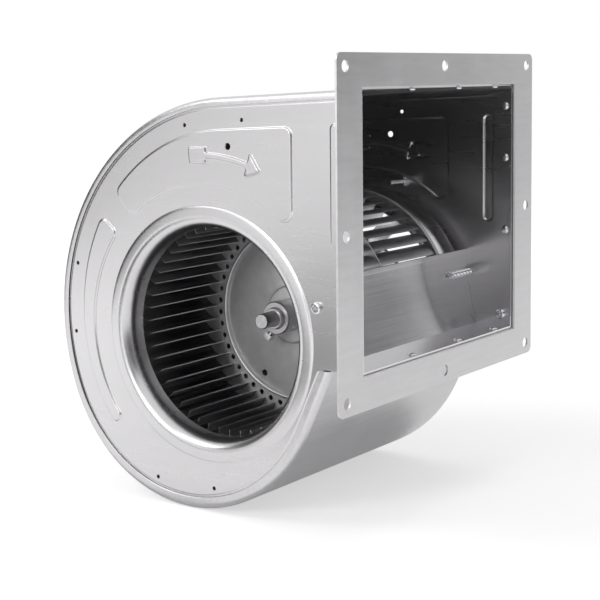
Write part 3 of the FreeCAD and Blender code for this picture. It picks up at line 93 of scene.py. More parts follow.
def metal_look(name, light, dark, roughness, grain, metallic=1.0, grain_bump=0.05,
               wave_bump=0.1, patch_scale=14.0, edge_highlight_gain=0.15):
    """Metal or paint: mottled tone, streaks along its grain, faint waves, sharp edges painted paler
    as a highlight.
    """
    material = bpy.data.materials.new(name)
    material.use_nodes = True
    tree = material.node_tree
    shader = tree.nodes["Principled BSDF"]
    shader.inputs["Metallic"].default_value = metallic
    place = new_node(tree, "ShaderNodeTexCoord")
    patches = new_node(tree, NOISE, {"Scale": patch_scale, "Detail": 5.0, "Roughness": 0.55})
    stretch = new_node(tree, "ShaderNodeMapping", {"Scale": grain})
    streaks = new_node(tree, NOISE, {"Scale": 1.0, "Detail": 8.0, "Roughness": 0.6})
    tone = new_node(tree, MIX, {0: 0.5}, data_type="FLOAT")
    wire(tree, (place, "Object", patches, "Vector"), (place, "Object", stretch, "Vector"),
         (stretch, "Vector", streaks, "Vector"), (patches, "Fac", tone, 2),
         (streaks, "Fac", tone, 3))

    spread = new_node(tree, RANGE, {"From Min": 0.32, "From Max": 0.68})
    colour = new_node(tree, MIX, {6: (*dark, 1), 7: (*light, 1)}, data_type="RGBA")
    # paler sharp edges: a painted highlight, as strong as the edge gain says
    edge_shape = new_node(tree, "ShaderNodeNewGeometry")
    edges = new_node(tree, RANGE, {"From Min": 0.52, "From Max": 0.62, "To Max": edge_highlight_gain})
    edge_lit = new_node(tree, MIX, {7: EDGE_HIGHLIGHT}, data_type="RGBA")
    wire(tree, (tone, 0, spread, "Value"), (spread, "Result", colour, 0),
         (edge_shape, "Pointiness", edges, "Value"), (edges, "Result", edge_lit, 0),
         (colour, 2, edge_lit, 6), (edge_lit, 2, shader, "Base Color"))

    rough = new_node(tree, RANGE, {"From Min": 0.3, "From Max": 0.7,
                                   "To Min": roughness[0], "To Max": roughness[1]})
    wave = new_node(tree, NOISE, {"Scale": 11.0, "Detail": 1.5})
    broad = new_node(tree, BUMP, {"Strength": wave_bump, "Distance": 0.004})
    fine = new_node(tree, BUMP, {"Strength": grain_bump, "Distance": 0.0006})
    wire(tree, (tone, 0, rough, "Value"), (rough, "Result", shader, "Roughness"),
         (place, "Object", wave, "Vector"), (wave, "Fac", broad, "Height"),
         (streaks, "Fac", fine, "Height"), (broad, "Normal", fine, "Normal"),
         (fine, "Normal", shader, "Normal"))
    return material


SHEET_LIGHT = (0.69, 0.68, 0.69)
SHEET_DARK = (0.57, 0.56, 0.57)
CASING_LOOK = metal_look("casing sheet", light=(0.64, 0.63, 0.64), dark=(0.6, 0.59, 0.6),
                         roughness=(0.255, 0.285), grain=(9, 120, 150), patch_scale=4.0,
                         grain_bump=0.001, wave_bump=0.07)
WRAPPER_LOOK = metal_look("wrapper sheet", SHEET_LIGHT, SHEET_DARK,
                          roughness=(0.28, 0.42), grain=(300, 10, 300))
TONGUE_LOOK = metal_look("tongue sheet", SHEET_LIGHT, dark=(0.6, 0.6, 0.62),
                         roughness=(0.15, 0.22), grain=(500, 8, 500), grain_bump=0.02)
FLANGE_LOOK = metal_look("flange sheet", SHEET_LIGHT, SHEET_DARK,
                         roughness=(0.34, 0.46), grain=(20, 20, 160), wave_bump=0.04)
# blades: the wheel's zinc-coated sheet coloured dark grey as painted shade of the casing's dark
# inside, with strong painted edge highlights
SHADED_BLADE_LOOK = metal_look("blade sheet painted shade", light=(0.30, 0.30, 0.31), dark=(0.16, 0.16, 0.17),
                        roughness=(0.3, 0.5), grain=(300, 12, 300), edge_highlight_gain=0.6)
WHEEL_LOOK = metal_look("wheel sheet", light=(0.8, 0.79, 0.8), dark=(0.66, 0.65, 0.66),
                        roughness=(0.34, 0.48), grain=(90, 90, 90), metallic=0.6)
STEEL_LOOK = metal_look("turned steel", light=(0.54, 0.53, 0.54), dark=(0.38, 0.37, 0.38),
                        roughness=(0.2, 0.38), grain=(90, 900, 90))
ZINC_LOOK = metal_look("zinc fastener", light=(0.78, 0.78, 0.79), dark=(0.6, 0.6, 0.62),
                       roughness=(0.14, 0.26), grain=(120, 120, 120), grain_bump=0.01)
RIVET_LOOK = metal_look("rivet", light=(0.82, 0.82, 0.83), dark=(0.66, 0.66, 0.67),
                        roughness=(0.22, 0.36), grain=(500, 500, 500))
PAINT_LOOK = metal_look("motor paint", light=(0.09, 0.09, 0.095), dark=(0.05, 0.05, 0.055),
                        roughness=(0.38, 0.55), grain=(700, 700, 700), metallic=0.0,
                        grain_bump=0.12, edge_highlight_gain=0.08)
CORE_LOOK = metal_look("lamination", light=(0.36, 0.35, 0.34), dark=(0.2, 0.19, 0.19),
                       roughness=(0.4, 0.6), grain=(60, 4000, 60))
COPPER_LOOK = metal_look("copper", light=(0.83, 0.42, 0.24), dark=(0.6, 0.27, 0.14),
                         roughness=(0.25, 0.45), grain=(300, 300, 300))
BEARING_LOOK = metal_look("bearing steel", light=(0.66, 0.66, 0.67), dark=(0.5, 0.5, 0.52),
                          roughness=(0.12, 0.25), grain=(90, 900, 90))
RUBBER_LOOK = metal_look("rubber", light=(0.035, 0.035, 0.037), dark=(0.02, 0.02, 0.02),
                         roughness=(0.6, 0.8), grain=(900, 900, 900), metallic=0.0,
                         edge_highlight_gain=0.05)

# Scroll casing: helpers for meshes, the scroll's line, closed outlines and sheets. The
# scroll is two tangent arcs between a straight top and a straight tail.
SMOOTH_ANGLE = 35
WELD = 1e-6
MERGE = 1e-5
CORNER_PARTS = 8


def finish_mesh(mesh, sharp_angle, weld=WELD, flatten=0.0):
    """Welds a mesh, merges its flat faces if asked, and shades it between sharp edges."""
    form = bmesh.new()
    form.from_mesh(mesh)
    bmesh.ops.remove_doubles(form, verts=form.verts, dist=weld)
    if flatten:
        bmesh.ops.dissolve_limit(form, angle_limit=math.radians(flatten), verts=form.verts,
                                 edges=form.edges)
    bmesh.ops.recalc_face_normals(form, faces=form.faces)
    form.to_mesh(mesh)
    form.free()
    mesh.shade_smooth()
    mesh.set_sharp_from_angle(angle=math.radians(sharp_angle))


def shares(parts):
    """Even shares from 0 to 1."""
    return [part / parts for part in range(parts + 1)]


def quarter_turns(parts):
    """Even angles from 0 to a quarter turn."""
    return [math.pi / 2 * part / parts for part in range(parts + 1)]


def row_place(point):
    """A point about the shaft, in millimetres, as a point of the row frame, in metres."""
    return Vector(((point[0] + SHAFT_X) * MM, point[1] * MM, (point[2] + SHAFT_Z) * MM))


def ring_faces(rings, steps, first=0):
    """Faces between neighbouring rings of points, each ring closed."""
    faces = []
    for ring in range(rings - 1):
        for step in range(steps):
            a = first + ring * steps + step
            b = first + ring * steps + (step + 1) % steps
            faces.append((a, b, b + steps, a + steps))
    return faces


def new_object(name, points, faces):
    """Object whose mesh is drawn in millimetres about the shaft."""
    mesh = bpy.data.meshes.new(name)
    mesh.from_pydata([row_place(point) for point in points], [], faces)
    mesh.update()
    item = bpy.data.objects.new(name, mesh)
    bpy.context.scene.collection.objects.link(item)
    return item


def with_modifiers(item):
    """Replaces an object's mesh by what its modifiers make of it, and removes them."""
    view = bpy.context.evaluated_depsgraph_get()
    made = bpy.data.meshes.new_from_object(item.evaluated_get(view))
    item.modifiers.clear()
    item.data = made
    return item


def dress(item, look, body, stands_for):
    """Gives a piece its finish and hands it to the frame."""
    item.data.materials.clear()
    item.data.materials.append(look)
    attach(item, body)
    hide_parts(*stands_for)


def finish_piece(item, look, body, stands_for, sharp_angle=SMOOTH_ANGLE):
    """Cleans a drawn piece's mesh, then dresses it."""
    finish_mesh(item.data, sharp_angle)
    dress(item, look, body, stands_for)


TOP_TURN = 92.8
LARGE_TURN = 108.9
SMALL_TURN = 133.9
TOP_ANGLE = math.radians(TOP_TURN)
JOINT_ANGLE = math.radians(TOP_TURN + LARGE_TURN)
TAIL_ANGLE = math.radians(TOP_TURN + LARGE_TURN + SMALL_TURN)
TOP_SLOPE = TOP_ANGLE - QUARTER_TURN
TAIL_HEADING = TAIL_ANGLE + QUARTER_TURN
TAIL_LENGTH = 58.5
TOP_HEIGHT = 223.8
TOP_PARTS = 12
LARGE_RADIUS = 214.1
SMALL_RADIUS = 152.8
LARGE_X = 27.2
LARGE_Z = TOP_HEIGHT - LARGE_RADIUS * math.cos(TOP_SLOPE)
SMALL_X = LARGE_X + (LARGE_RADIUS - SMALL_RADIUS) * math.cos(JOINT_ANGLE)
SMALL_Z = LARGE_Z + (LARGE_RADIUS - SMALL_RADIUS) * math.sin(JOINT_ANGLE)


def scroll_line(offset, sag, right_end, step=1.5):
    """Stations along the scroll from the outlet's top to the tail's end, as (x, z, angle)."""
    grown = offset + sag
    shift_x = -sag * math.cos(TOP_ANGLE)
    shift_z = -sag * math.sin(TOP_ANGLE)
    stations = []

    def arc(centre_x, centre_z, radius, first, last):
        count = max(2, int(math.degrees(last - first) / step))
        for index in range(count + 1):
            angle = first + (last - first) * index / count
            stations.append((centre_x + shift_x + radius * math.cos(angle),
                             centre_z + shift_z + radius * math.sin(angle), angle))

    arc(LARGE_X, LARGE_Z, LARGE_RADIUS + grown, TOP_ANGLE, JOINT_ANGLE)
    arc(SMALL_X, SMALL_Z, SMALL_RADIUS + grown, JOINT_ANGLE, TAIL_ANGLE)
    tangent = stations[0]
    rise = (right_end - tangent[0]) * math.tan(TOP_SLOPE)
    top = []
    for part in range(TOP_PARTS):
        share = part / TOP_PARTS
        across = right_end + (tangent[0] - right_end) * share
        top.append((across, tangent[1] + rise * (1 - share), TOP_ANGLE))
    tail = stations[-1]
    end_x = tail[0] + TAIL_LENGTH * math.cos(TAIL_HEADING)
    end_z = tail[1] + TAIL_LENGTH * math.sin(TAIL_HEADING)
    return top + stations + [(end_x, end_z, TAIL_ANGLE)]


def scroll_reach(angle, offset):
    """Distance from the shaft to the scroll's line, moved by offset, by its two arcs."""
    centre_x, centre_z, radius = SMALL_X, SMALL_Z, SMALL_RADIUS + offset
    if angle % FULL_TURN < JOINT_ANGLE:
        centre_x, centre_z, radius = LARGE_X, LARGE_Z, LARGE_RADIUS + offset
    along = math.cos(angle) * centre_x + math.sin(angle) * centre_z
    aside = centre_x ** 2 + centre_z ** 2 - along ** 2
    return along + math.sqrt(radius ** 2 - aside)


def polar(radius, degrees):
    turn = math.radians(degrees)
    return radius * math.cos(turn), radius * math.sin(turn)


def rounded(sides, radii):
    """Closed outline of several dense sides whose meeting corners are rounded."""
    count = len(sides)
    sides = [[Vector(spot) for spot in side] for side in sides]
    half_turns = []
    for index in range(count):
        arriving = sides[index - 1][-1] - sides[index - 1][-2]
        leaving = sides[index][1] - sides[index][0]
        half_turns.append(arriving.angle(leaving) / 2)
    trimmed = []
    for index in range(count):
        after = (index + 1) % count
        start_cut = radii[index] * math.tan(half_turns[index])
        end_cut = radii[after] * math.tan(half_turns[after])
        shortened = list(reversed(cut_back(list(reversed(sides[index])), end_cut)))
        trimmed.append(cut_back(shortened, start_cut))
    outline = []
    for index in range(count):
        outline += trimmed[index]
        corner = sides[index][-1]
        first = trimmed[index][-1]
        last = trimmed[(index + 1) % count][0]
        weight = math.cos(half_turns[(index + 1) % count])
        for part in range(1, CORNER_PARTS):
            share = part / CORNER_PARTS
            a = (1 - share) ** 2
            b = 2 * weight * share * (1 - share)
            c = share ** 2
            outline.append((first * a + corner * b + last * c) / (a + b + c))
    return outline


def cut_back(side, length):
    """Shortens a dense line at its start by a length along it."""
    left = length
    for index in range(len(side) - 1):
        step = (side[index + 1] - side[index]).length
        if step > left:
            start = side[index].lerp(side[index + 1], left / step)
            return [start] + side[index + 1:]
        left -= step
    return side[-2:]


def inset(outline, distance):
    """A closed outline moved inwards by a distance, whichever way it runs."""
    count = len(outline)
    pairs = [(outline[k], outline[(k + 1) % count]) for k in range(count)]
    area = sum(here.x * following.y - following.x * here.y for here, following in pairs)
    way = 1 if area > 0 else -1
    moved = []
    for index in range(count):
        before = outline[index] - outline[index - 1]
        after = outline[(index + 1) % count] - outline[index]
        first = Vector((-before.y, before.x)).normalized() * way
        second = Vector((-after.y, after.x)).normalized() * way
        middle = (first + second).normalized()
        moved.append(outline[index] + middle * distance / max(0.5, middle.dot(first)))
    return moved


def smooth_step(share):
    share = min(1.0, max(0.0, share))
    return share * share * (3 - 2 * share)


def inside(spot, outline):
    """Whether a point lies inside a closed outline."""
    found = False
    count = len(outline)
    for index in range(count):
        a = outline[index]
        b = outline[(index + 1) % count]
        if (a[1] > spot[1]) != (b[1] > spot[1]):
            if spot[0] < a[0] + (b[0] - a[0]) * (spot[1] - a[1]) / (b[1] - a[1]):
                found = not found
    return found


def circle(radius, count, across=0.0, up=0.0):
    return [Vector((across + radius * math.cos(FULL_TURN * k / count),
                    up + radius * math.sin(FULL_TURN * k / count))) for k in range(count)]


def sheet_from_lines(lines, outer, holes):
    """Triangulated sheet through lines of (points, height, closed): points, heights and faces."""
    spots = []
    heights = []
    edges = []
    for outline, height, closed in lines:
        first = len(spots)
        count = len(outline)
        spots += [Vector(spot) for spot in outline]
        heights += [height] * count
        links = count if closed else count - 1
        edges += [(first + k, first + (k + 1) % count) for k in range(links)]
    made, _, triangles, origins, _, _ = delaunay_2d_cdt(spots, edges, [], 0, MERGE)
    kept = []
    for triangle in triangles:
        middle = sum((made[k] for k in triangle), Vector((0, 0))) / 3
        if any((middle - centre).length < radius for centre, radius in holes):
            continue
        if inside(middle, outer):
            kept.append(tuple(triangle))
    places = [heights[origin[0]] if origin else 0.0 for origin in origins]
    return made, places, kept


# Side plates: flat sheet with a drawn inlet bell, two pressed panels, a bead by the outlet and
# a raised arrow; 1.2 mm zinc-coated sheet, pressed and punched, held by the wrapper's rolled rims
EMBOSS = 1.5
SHOULDER = 2.3
ARROW_RISES = {-1: (2.0, 2.0), 1: (0.7, 2.2)}
ARROW_PARTS = 6
SEAM_FALL = 0.4
BELL_FOOT = 127.0
BELL_RIDGE = 116.5
BELL_THROAT = 104.5
BELL_COLLAR = 1.5
BELL_DEPTH = 23.5
BELL_STEPS = 192
RIVET_X = 174.0
RIVET_HEIGHTS = (217.5, 162.8, 85.7)
TAB_SCREW = (170.0, -5.0)
STOP_SCREW_Z = 38.0
STOP_BUILT_HEAD = 6.0
STOP_BUILT_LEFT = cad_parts["stop_screws"].bound_box[0][0] / MM - SHAFT_X
STOP_SCREW_X = STOP_BUILT_LEFT + STOP_BUILT_HEAD
STOP_HOLE_RADIUS = 4.2
ARM_CIRCLE = 141.2
ARM_ANGLES = (70.3, 185.0, 285.0)
ARM_HOLE_RADIUS = 3.15
RIVET_HOLE_RADIUS = 2.05
TAB_HOLE_RADIUS = 2.65
GUARD_HOLE_RADIUS = 2.1
GUARD_HOLES = ((12.8, (96.8, 77.7)), (8.5, (161.1, 184.3, 246.3, 272.2)))
SIGHT_HOLE = (187.5, 80.8)
SIGHT_HOLE_RADIUS = 3.4
HOLE_STEPS = 20
PANEL_FLOOR = 100
SEAM_RIGHT_END = 160.0
SEAM_STEPS = ((1.0, 0.0), (-1.6, 0.0), (-2.1, 0.25), (-2.6, 0.75), (-3.1, 1.0), (-3.7, 1.0))
PLATE_GROWTH = 3.0
CASING_UNDER = -19.4
RISE_PARTS = 8
RISE_LEAD = 0.5
BELL_FOOT_LEAD = 0.6
BELL_APRON = ((126.4, 0.12), (125.8, 0.42), (125.2, 0.68), (124.4, 0.84), (122.6, 1.02),
              (120.4, 1.22), (118.2, 1.4))
BELL_DROP = 17.0
BELL_PARTS = 16


def arc_points(radius, first, last, step=1.2):
    """Points on a circle about the shaft, between two angles in degrees."""
    count = max(2, int(abs(last - first) / step))
    return [polar(radius, first + (last - first) * k / count) for k in range(count + 1)]


def reach_points(offset, first, last, step=1.2):
    """Points on the scroll's line, moved by offset, between two angles in degrees."""
    count = max(2, int(abs(last - first) / step))
    angles = [first + (last - first) * k / count for k in range(count + 1)]
    return [polar(scroll_reach(math.radians(angle), offset), angle) for angle in angles]


def line_points(start, end, count=12):
    return [(start[0] + (end[0] - start[0]) * k / count, start[1] + (end[1] - start[1]) * k / count)
            for k in range(count + 1)]


def panel_line():
    """Large panel over the inlet: two arcs, a radial left side and an upright right side."""
    right, inner, margin, start = 105.5, 146.5, -22.0, 131.0
    low_angle = math.degrees(math.acos(right / inner))
    bottom = arc_points(inner, low_angle, start)
    tangent_x = LARGE_X + (LARGE_RADIUS + margin) * math.cos(TOP_ANGLE)
    tangent_z = LARGE_Z + (LARGE_RADIUS + margin) * math.sin(TOP_ANGLE)
    tangent_angle = math.degrees(math.atan2(tangent_z, tangent_x))
    top = reach_points(margin, start, tangent_angle)
    end = (right, tangent_z + (right - tangent_x) * math.tan(TOP_SLOPE))
    top += line_points(top[-1], end)[1:]
    left = line_points(bottom[-1], top[0])
    fall = line_points(end, bottom[0])
    corner = 10.0
    return rounded([bottom, left, top, fall], [corner] * 4)


def crescent_line():
    """Narrow curved panel on the left of the inlet."""
    inner, margin, start, end = 148.0, -21.5, 140.5, 220.5
    wide, tight = 9.0, 6.0
    near = arc_points(inner, start, end)
    far = reach_points(margin, end, start)
    return rounded([near, line_points(near[-1], far[0]), far, line_points(far[-1], near[0])],
                   [wide, tight, tight, wide])


def bead_line():
    """Upright bead by the outlet."""
    left, right, low, high, corner = 147.0, 160.0, 93.0, 209.0, 6.0
    corners = [(left, low), (right, low), (right, high), (left, high)]
    sides = [line_points(corners[k], corners[(k + 1) % 4]) for k in range(4)]
    return rounded(sides, [corner] * 4)


def arrow_line():
    """Arrow along the way that the wheel turns: square tail, bent shaft and a head."""
    middle, shaft, tail, head = 176.0, 3.4, 9.0, 14.0
    left, right, neck, tip = 96.0, 88.7, 72.6, 66.6
    convex, hollow = 2.1, 1.0
    spots = [(middle - tail, left, convex), (middle + tail, left, convex),
             (middle + tail, right, convex), (middle + shaft, right, hollow),
             (middle + shaft, neck, hollow), (middle + head, neck, convex),
             (middle, tip, convex), (middle - head, neck, convex),
             (middle - shaft, neck, hollow), (middle - shaft, right, hollow),
             (middle - tail, right, convex)]
    corners = [polar(reach, angle) for reach, angle, corner in spots]
    sides = []
    for index, start in enumerate(corners):
        sides.append(line_points(start, corners[(index + 1) % len(corners)], ARROW_PARTS))
    upper, lower = 3, 8
    sides[upper] = arc_points(middle + shaft, right, neck)
    sides[lower] = arc_points(middle - shaft, neck, right)
    return rounded(sides, [corner for reach, angle, corner in spots])


def raised(outline, base, height, shoulder):
    """Lines of a pressed form, from its foot to its flat top."""
    lines = [(inset(outline, -RISE_LEAD), base, True)]
    for share in shares(RISE_PARTS):
        lines.append((inset(outline, share * shoulder), base + height * smooth_step(share), True))
    lines.append((inset(outline, shoulder + RISE_LEAD), base + height, True))
    return lines


PLATE_HOLES = []
for margin, guard_angles in GUARD_HOLES:
    for guard_angle in guard_angles:
        reach = scroll_reach(math.radians(guard_angle), 0) - margin
        PLATE_HOLES.append((*polar(reach, guard_angle), GUARD_HOLE_RADIUS))
PLATE_HOLES.append((*polar(*SIGHT_HOLE), SIGHT_HOLE_RADIUS))
for rivet_height in RIVET_HEIGHTS:
    PLATE_HOLES.append((RIVET_X, rivet_height, RIVET_HOLE_RADIUS))
PLATE_HOLES.append((*TAB_SCREW, TAB_HOLE_RADIUS))
PLATE_HOLES.append((STOP_SCREW_X, STOP_SCREW_Z, STOP_HOLE_RADIUS))


def side_plate(name, side, more_holes):
    """Near (-1) or far (1) plate: pressed flat sheet, bell turned inwards, then its gauge."""
    rim = [Vector((x, z)) for x, z, angle in scroll_line(PLATE_GROWTH, 0.0, OUTLET_END)]
    tail = rim[-1]
    lift = (CASING_UNDER - tail.y) / math.sin(TAIL_HEADING)
    rim[-1] = tail + Vector((math.cos(TAIL_HEADING), math.sin(TAIL_HEADING))) * lift
    rim.append(Vector((OUTLET_END, CASING_UNDER)))
    lines = [(rim, -SEAM_FALL, True), (circle(BELL_FOOT, BELL_STEPS), 0.0, True),
             (circle(BELL_FOOT + BELL_FOOT_LEAD, BELL_STEPS), 0.0, True)]
    for offset, share in SEAM_STEPS:
        seam = [Vector((x, z)) for x, z, angle in scroll_line(offset, 0.0, SEAM_RIGHT_END)]
        lines.append((seam, -SEAM_FALL * (1 - share), False))
    for outline in (panel_line(), crescent_line(), bead_line()):
        lines += raised(outline, 0.0, EMBOSS, SHOULDER)
    lines += raised(arrow_line(), EMBOSS, *ARROW_RISES[side])
    holes = [(Vector((0, 0)), BELL_FOOT)]
    for across, up, radius in PLATE_HOLES + more_holes:
        in_panel = inside((across, up), panel_line()) and up > PANEL_FLOOR
        level = EMBOSS if in_panel else 0.0
        lines.append((circle(radius, HOLE_STEPS, across, up), level, True))
        lines.append((circle(radius + RISE_LEAD, HOLE_STEPS, across, up), level, True))
        holes.append((Vector((across, up)), radius))
    spots, heights, faces = sheet_from_lines(lines, rim, holes)
    points = []
    for spot, height in zip(spots, heights):
        points.append((spot.x, side * (PLATE_FACE + height), spot.y))

    profile = [(BELL_FOOT, 0.0), *BELL_APRON]
    turn = BELL_RIDGE - BELL_THROAT
    for angle in quarter_turns(BELL_PARTS):
        height = BELL_COLLAR - BELL_DROP + BELL_DROP * math.cos(angle)
        profile.append((BELL_RIDGE - turn * math.sin(angle), height))
    profile.append((BELL_THROAT, -BELL_DEPTH))
    first = len(points)
    for radius, height in profile:
        place_y = side * (PLATE_FACE + height)
        points += [(spot.x, place_y, spot.y) for spot in circle(radius, BELL_STEPS)]
    faces += ring_faces(len(profile), BELL_STEPS, first)
    plate = new_object(name, points, faces)
    finish_mesh(plate.data, SMOOTH_ANGLE)
    flat = max(plate.data.polygons, key=lambda face: face.area)
    if flat.normal.y * side < 0:
        plate.data.flip_normals()
    thicken = plate.modifiers.new("sheet", "SOLIDIFY")
    thicken.thickness = PLATE_GAUGE * MM
    thicken.offset = -1.0
    thicken.use_even_offset = False
    with_modifiers(plate)
    finish_piece(plate, CASING_LOOK, "casing", [name.replace("sheet_", "")])


side_plate("sheet_side_plate_front", -1, [])
side_plate("sheet_side_plate_rear", 1,
           [(*polar(ARM_CIRCLE, angle), ARM_HOLE_RADIUS) for angle in ARM_ANGLES])

# Scroll wrapper: one bent sheet from the outlet's top round to the floor, its two rims rolled
# over the side plates' edges; 1 mm zinc-coated sheet, brushed along the shaft's direction
RIM_DEPTH = 8.0
RIM_SAG = 2.0
LIP_FACE = 147.0
RIM_RADIUS = 6.0
WRAPPER_GAUGE = 1.0
WRAPPER_END = 181.2
NOTCH_Z = -20.4
FOOT_HALF = 144.4
LIP_BREAK = 0.35
LIP_LEAD = 0.4
SECTION_INSETS = (40, 80)
BEND_PARTS = 8
FOOT_BEND = 1.0


def rim_section(depth):
    """Closed section across the sheet, as (y, distance in from the outer face)."""
    flat = LIP_FACE - RIM_RADIUS
    lip_inside = LIP_FACE - WRAPPER_GAUGE
    near, far = SECTION_INSETS
    half = [(LIP_FACE - LIP_BREAK, depth), (LIP_FACE, depth - LIP_LEAD),
            (LIP_FACE, RIM_RADIUS + LIP_LEAD)]
    for angle in quarter_turns(BEND_PARTS):
        half.append((flat + RIM_RADIUS * math.cos(angle),
                     RIM_RADIUS - RIM_RADIUS * math.sin(angle)))
    half += [(flat - LIP_LEAD, 0.0), (flat - near, 0.0), (flat - far, 0.0)]
    inner_half = [(flat - far, WRAPPER_GAUGE), (flat - LIP_LEAD, WRAPPER_GAUGE)]
    inner_radius = RIM_RADIUS - WRAPPER_GAUGE
    for share in shares(BEND_PARTS):
        angle = math.pi / 2 * (1 - share)
        inner_half.append((flat + inner_radius * math.cos(angle),
                           RIM_RADIUS - inner_radius * math.sin(angle)))
    inner_half += [(lip_inside, depth - LIP_LEAD), (lip_inside + LIP_BREAK, depth)]
    outer = half + [(-y, inward) for y, inward in reversed(half)]
    inner = [(-y, inward) for y, inward in reversed(inner_half)] + inner_half
    return outer + inner


def swept(sections):
    """Points and faces of equal closed sections joined in a row, with both ends closed."""
    size = len(sections[0])
    points = [point for section in sections for point in section]
    faces = ring_faces(len(sections), size)
    half = size // 2
    for start in (0, (len(sections) - 1) * size):
        for step in range(half - 1):
            across = start + size - 1 - step
            faces.append((start + step, start + step + 1, across - 1, across))
    return points, faces


wrapper_stations = scroll_line(RIM_DEPTH, RIM_SAG, WRAPPER_END)
wrapper_sections = []
tail_cos = math.cos(TAIL_HEADING)
tail_sin = math.sin(TAIL_HEADING)
tail_way = Vector((tail_cos, tail_sin))
for number, (across, up, angle) in enumerate(wrapper_stations):
    depth = RIM_DEPTH + RIM_SAG - RIM_SAG * math.cos(angle - TOP_ANGLE)
    section = []
    for place_y, inward in rim_section(depth):
        point_x = across - inward * math.cos(angle)
        point_z = up - inward * math.sin(angle)
        if number == 0:
            point_z -= (point_x - WRAPPER_END) * math.tan(TOP_SLOPE)
            point_x = WRAPPER_END
        if number == len(wrapper_stations) - 1:
            lift = (NOTCH_Z - point_z) / tail_sin
            point_x += lift * tail_cos
            point_z += lift * tail_sin
        section.append((point_x, place_y, point_z))
    wrapper_sections.append(section)
wrapper_points, wrapper_faces = swept(wrapper_sections)

foot_start = Vector((wrapper_stations[-1][0], wrapper_stations[-1][1]))
foot_start += tail_way * ((NOTCH_Z - foot_start.y) / tail_sin)
foot_corner = foot_start + tail_way * ((CASING_UNDER - NOTCH_Z) / tail_sin)
foot_first = foot_corner - tail_way * FOOT_BEND
foot_last = foot_corner + Vector((FOOT_BEND, 0))
foot_line = [foot_start]
for share in shares(BEND_PARTS):
    foot_line.append(foot_first * (1 - share) ** 2 + foot_corner * 2 * share * (1 - share)
                     + foot_last * share ** 2)
foot_line.append(Vector((WRAPPER_END, CASING_UNDER)))
foot_sections = []
for index, spot in enumerate(foot_line):
    ahead = foot_line[min(index + 1, len(foot_line) - 1)] - foot_line[max(index - 1, 0)]
    normal = Vector((-ahead.y, ahead.x)).normalized()
    if index == 0:
        back = spot + Vector((-tail_sin, tail_cos)) * WRAPPER_GAUGE
        inner_spot = back + tail_way * ((NOTCH_Z - back.y) / tail_sin)
    else:
        inner_spot = spot + normal * WRAPPER_GAUGE
    corners = ((spot, FOOT_HALF), (spot, -FOOT_HALF), (inner_spot, -FOOT_HALF),
               (inner_spot, FOOT_HALF))
    foot_sections.append([(place.x, half, place.y) for place, half in corners])
foot_points, foot_faces = swept(foot_sections)
shift = len(wrapper_points)
wrapper_points += foot_points
wrapper_faces += [tuple(index + shift for index in face) for face in foot_faces]
wrapper = new_object("sheet_scroll_wrapper", wrapper_points, wrapper_faces)
finish_piece(wrapper, WRAPPER_LOOK, "casing", ["scroll_wrapper"])

# Cut-off plate and outlet flange: folded and pressed zinc-coated sheet, riveted into the
# duct's end; copies of the built pieces with their cut edges broken
CAD_WELD = 2e-6
CAD_FLATTEN = 0.4
CAD_SHARP = 30
BREAK_ANGLE = 50


def from_cad(node, look, body, edge_break=0.0):
    """A welded, smoothly shaded copy of a built piece, with its sharp edges broken."""
    item = bpy.data.objects.new("fine_" + node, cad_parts[node].data.copy())
    bpy.context.scene.collection.objects.link(item)
    finish_mesh(item.data, CAD_SHARP, CAD_WELD, CAD_FLATTEN)
    if edge_break:
        bevel = item.modifiers.new("broken edges", "BEVEL")
        bevel.width = edge_break * MM
        bevel.segments = 2
        bevel.limit_method = "ANGLE"
        bevel.angle_limit = math.radians(BREAK_ANGLE)
        bevel.use_clamp_overlap = True
        bevel.harden_normals = False
    even = item.modifiers.new("even shading", "WEIGHTED_NORMAL")
    even.mode = "FACE_AREA"
    even.weight = 100
    even.keep_sharp = not edge_break
    with_modifiers(item)
    dress(item, look, body, [node])


from_cad("cutoff_plate", TONGUE_LOOK, "casing", 0.12)
from_cad("outlet_flange", FLANGE_LOOK, "casing", 0.3)

# Fasteners of the casing: blind rivets round the duct, two long stop screws through the side
# plates by the tongue and two tab screws; zinc-plated, repeated by one node tree
AXIS = 0.01
TO_PLUS_Z = (0.0, 0.0, 0.0)
TO_MINUS_Z = (math.pi, 0.0, 0.0)
TO_PLUS_Y = (-math.pi / 2, 0.0, 0.0)
TO_MINUS_Y = (math.pi / 2, 0.0, 0.0)
RIVET_PARTS = 8
RIVET_STEPS = 24
RIVET_DIMPLE = (0.7, -1.7)
RIVET_CROWN = 0.8
RIVET_DOME = 3.4
RIVET_HEIGHT = 2.1
RIVET_SHANK = ((4.1, 0.0), (1.9, 0.0), (1.9, 3.4), (2.9, 3.5), (2.9, 4.2), (2.4, 4.7))
RIVET_TAIL = 4.7
RIVET_ROWS = (-48.0, 42.0, 118.5)
RIVET_TOP = 238.2
DUCT_FLOOR = -17.4
DUCT_HALF = 144.6


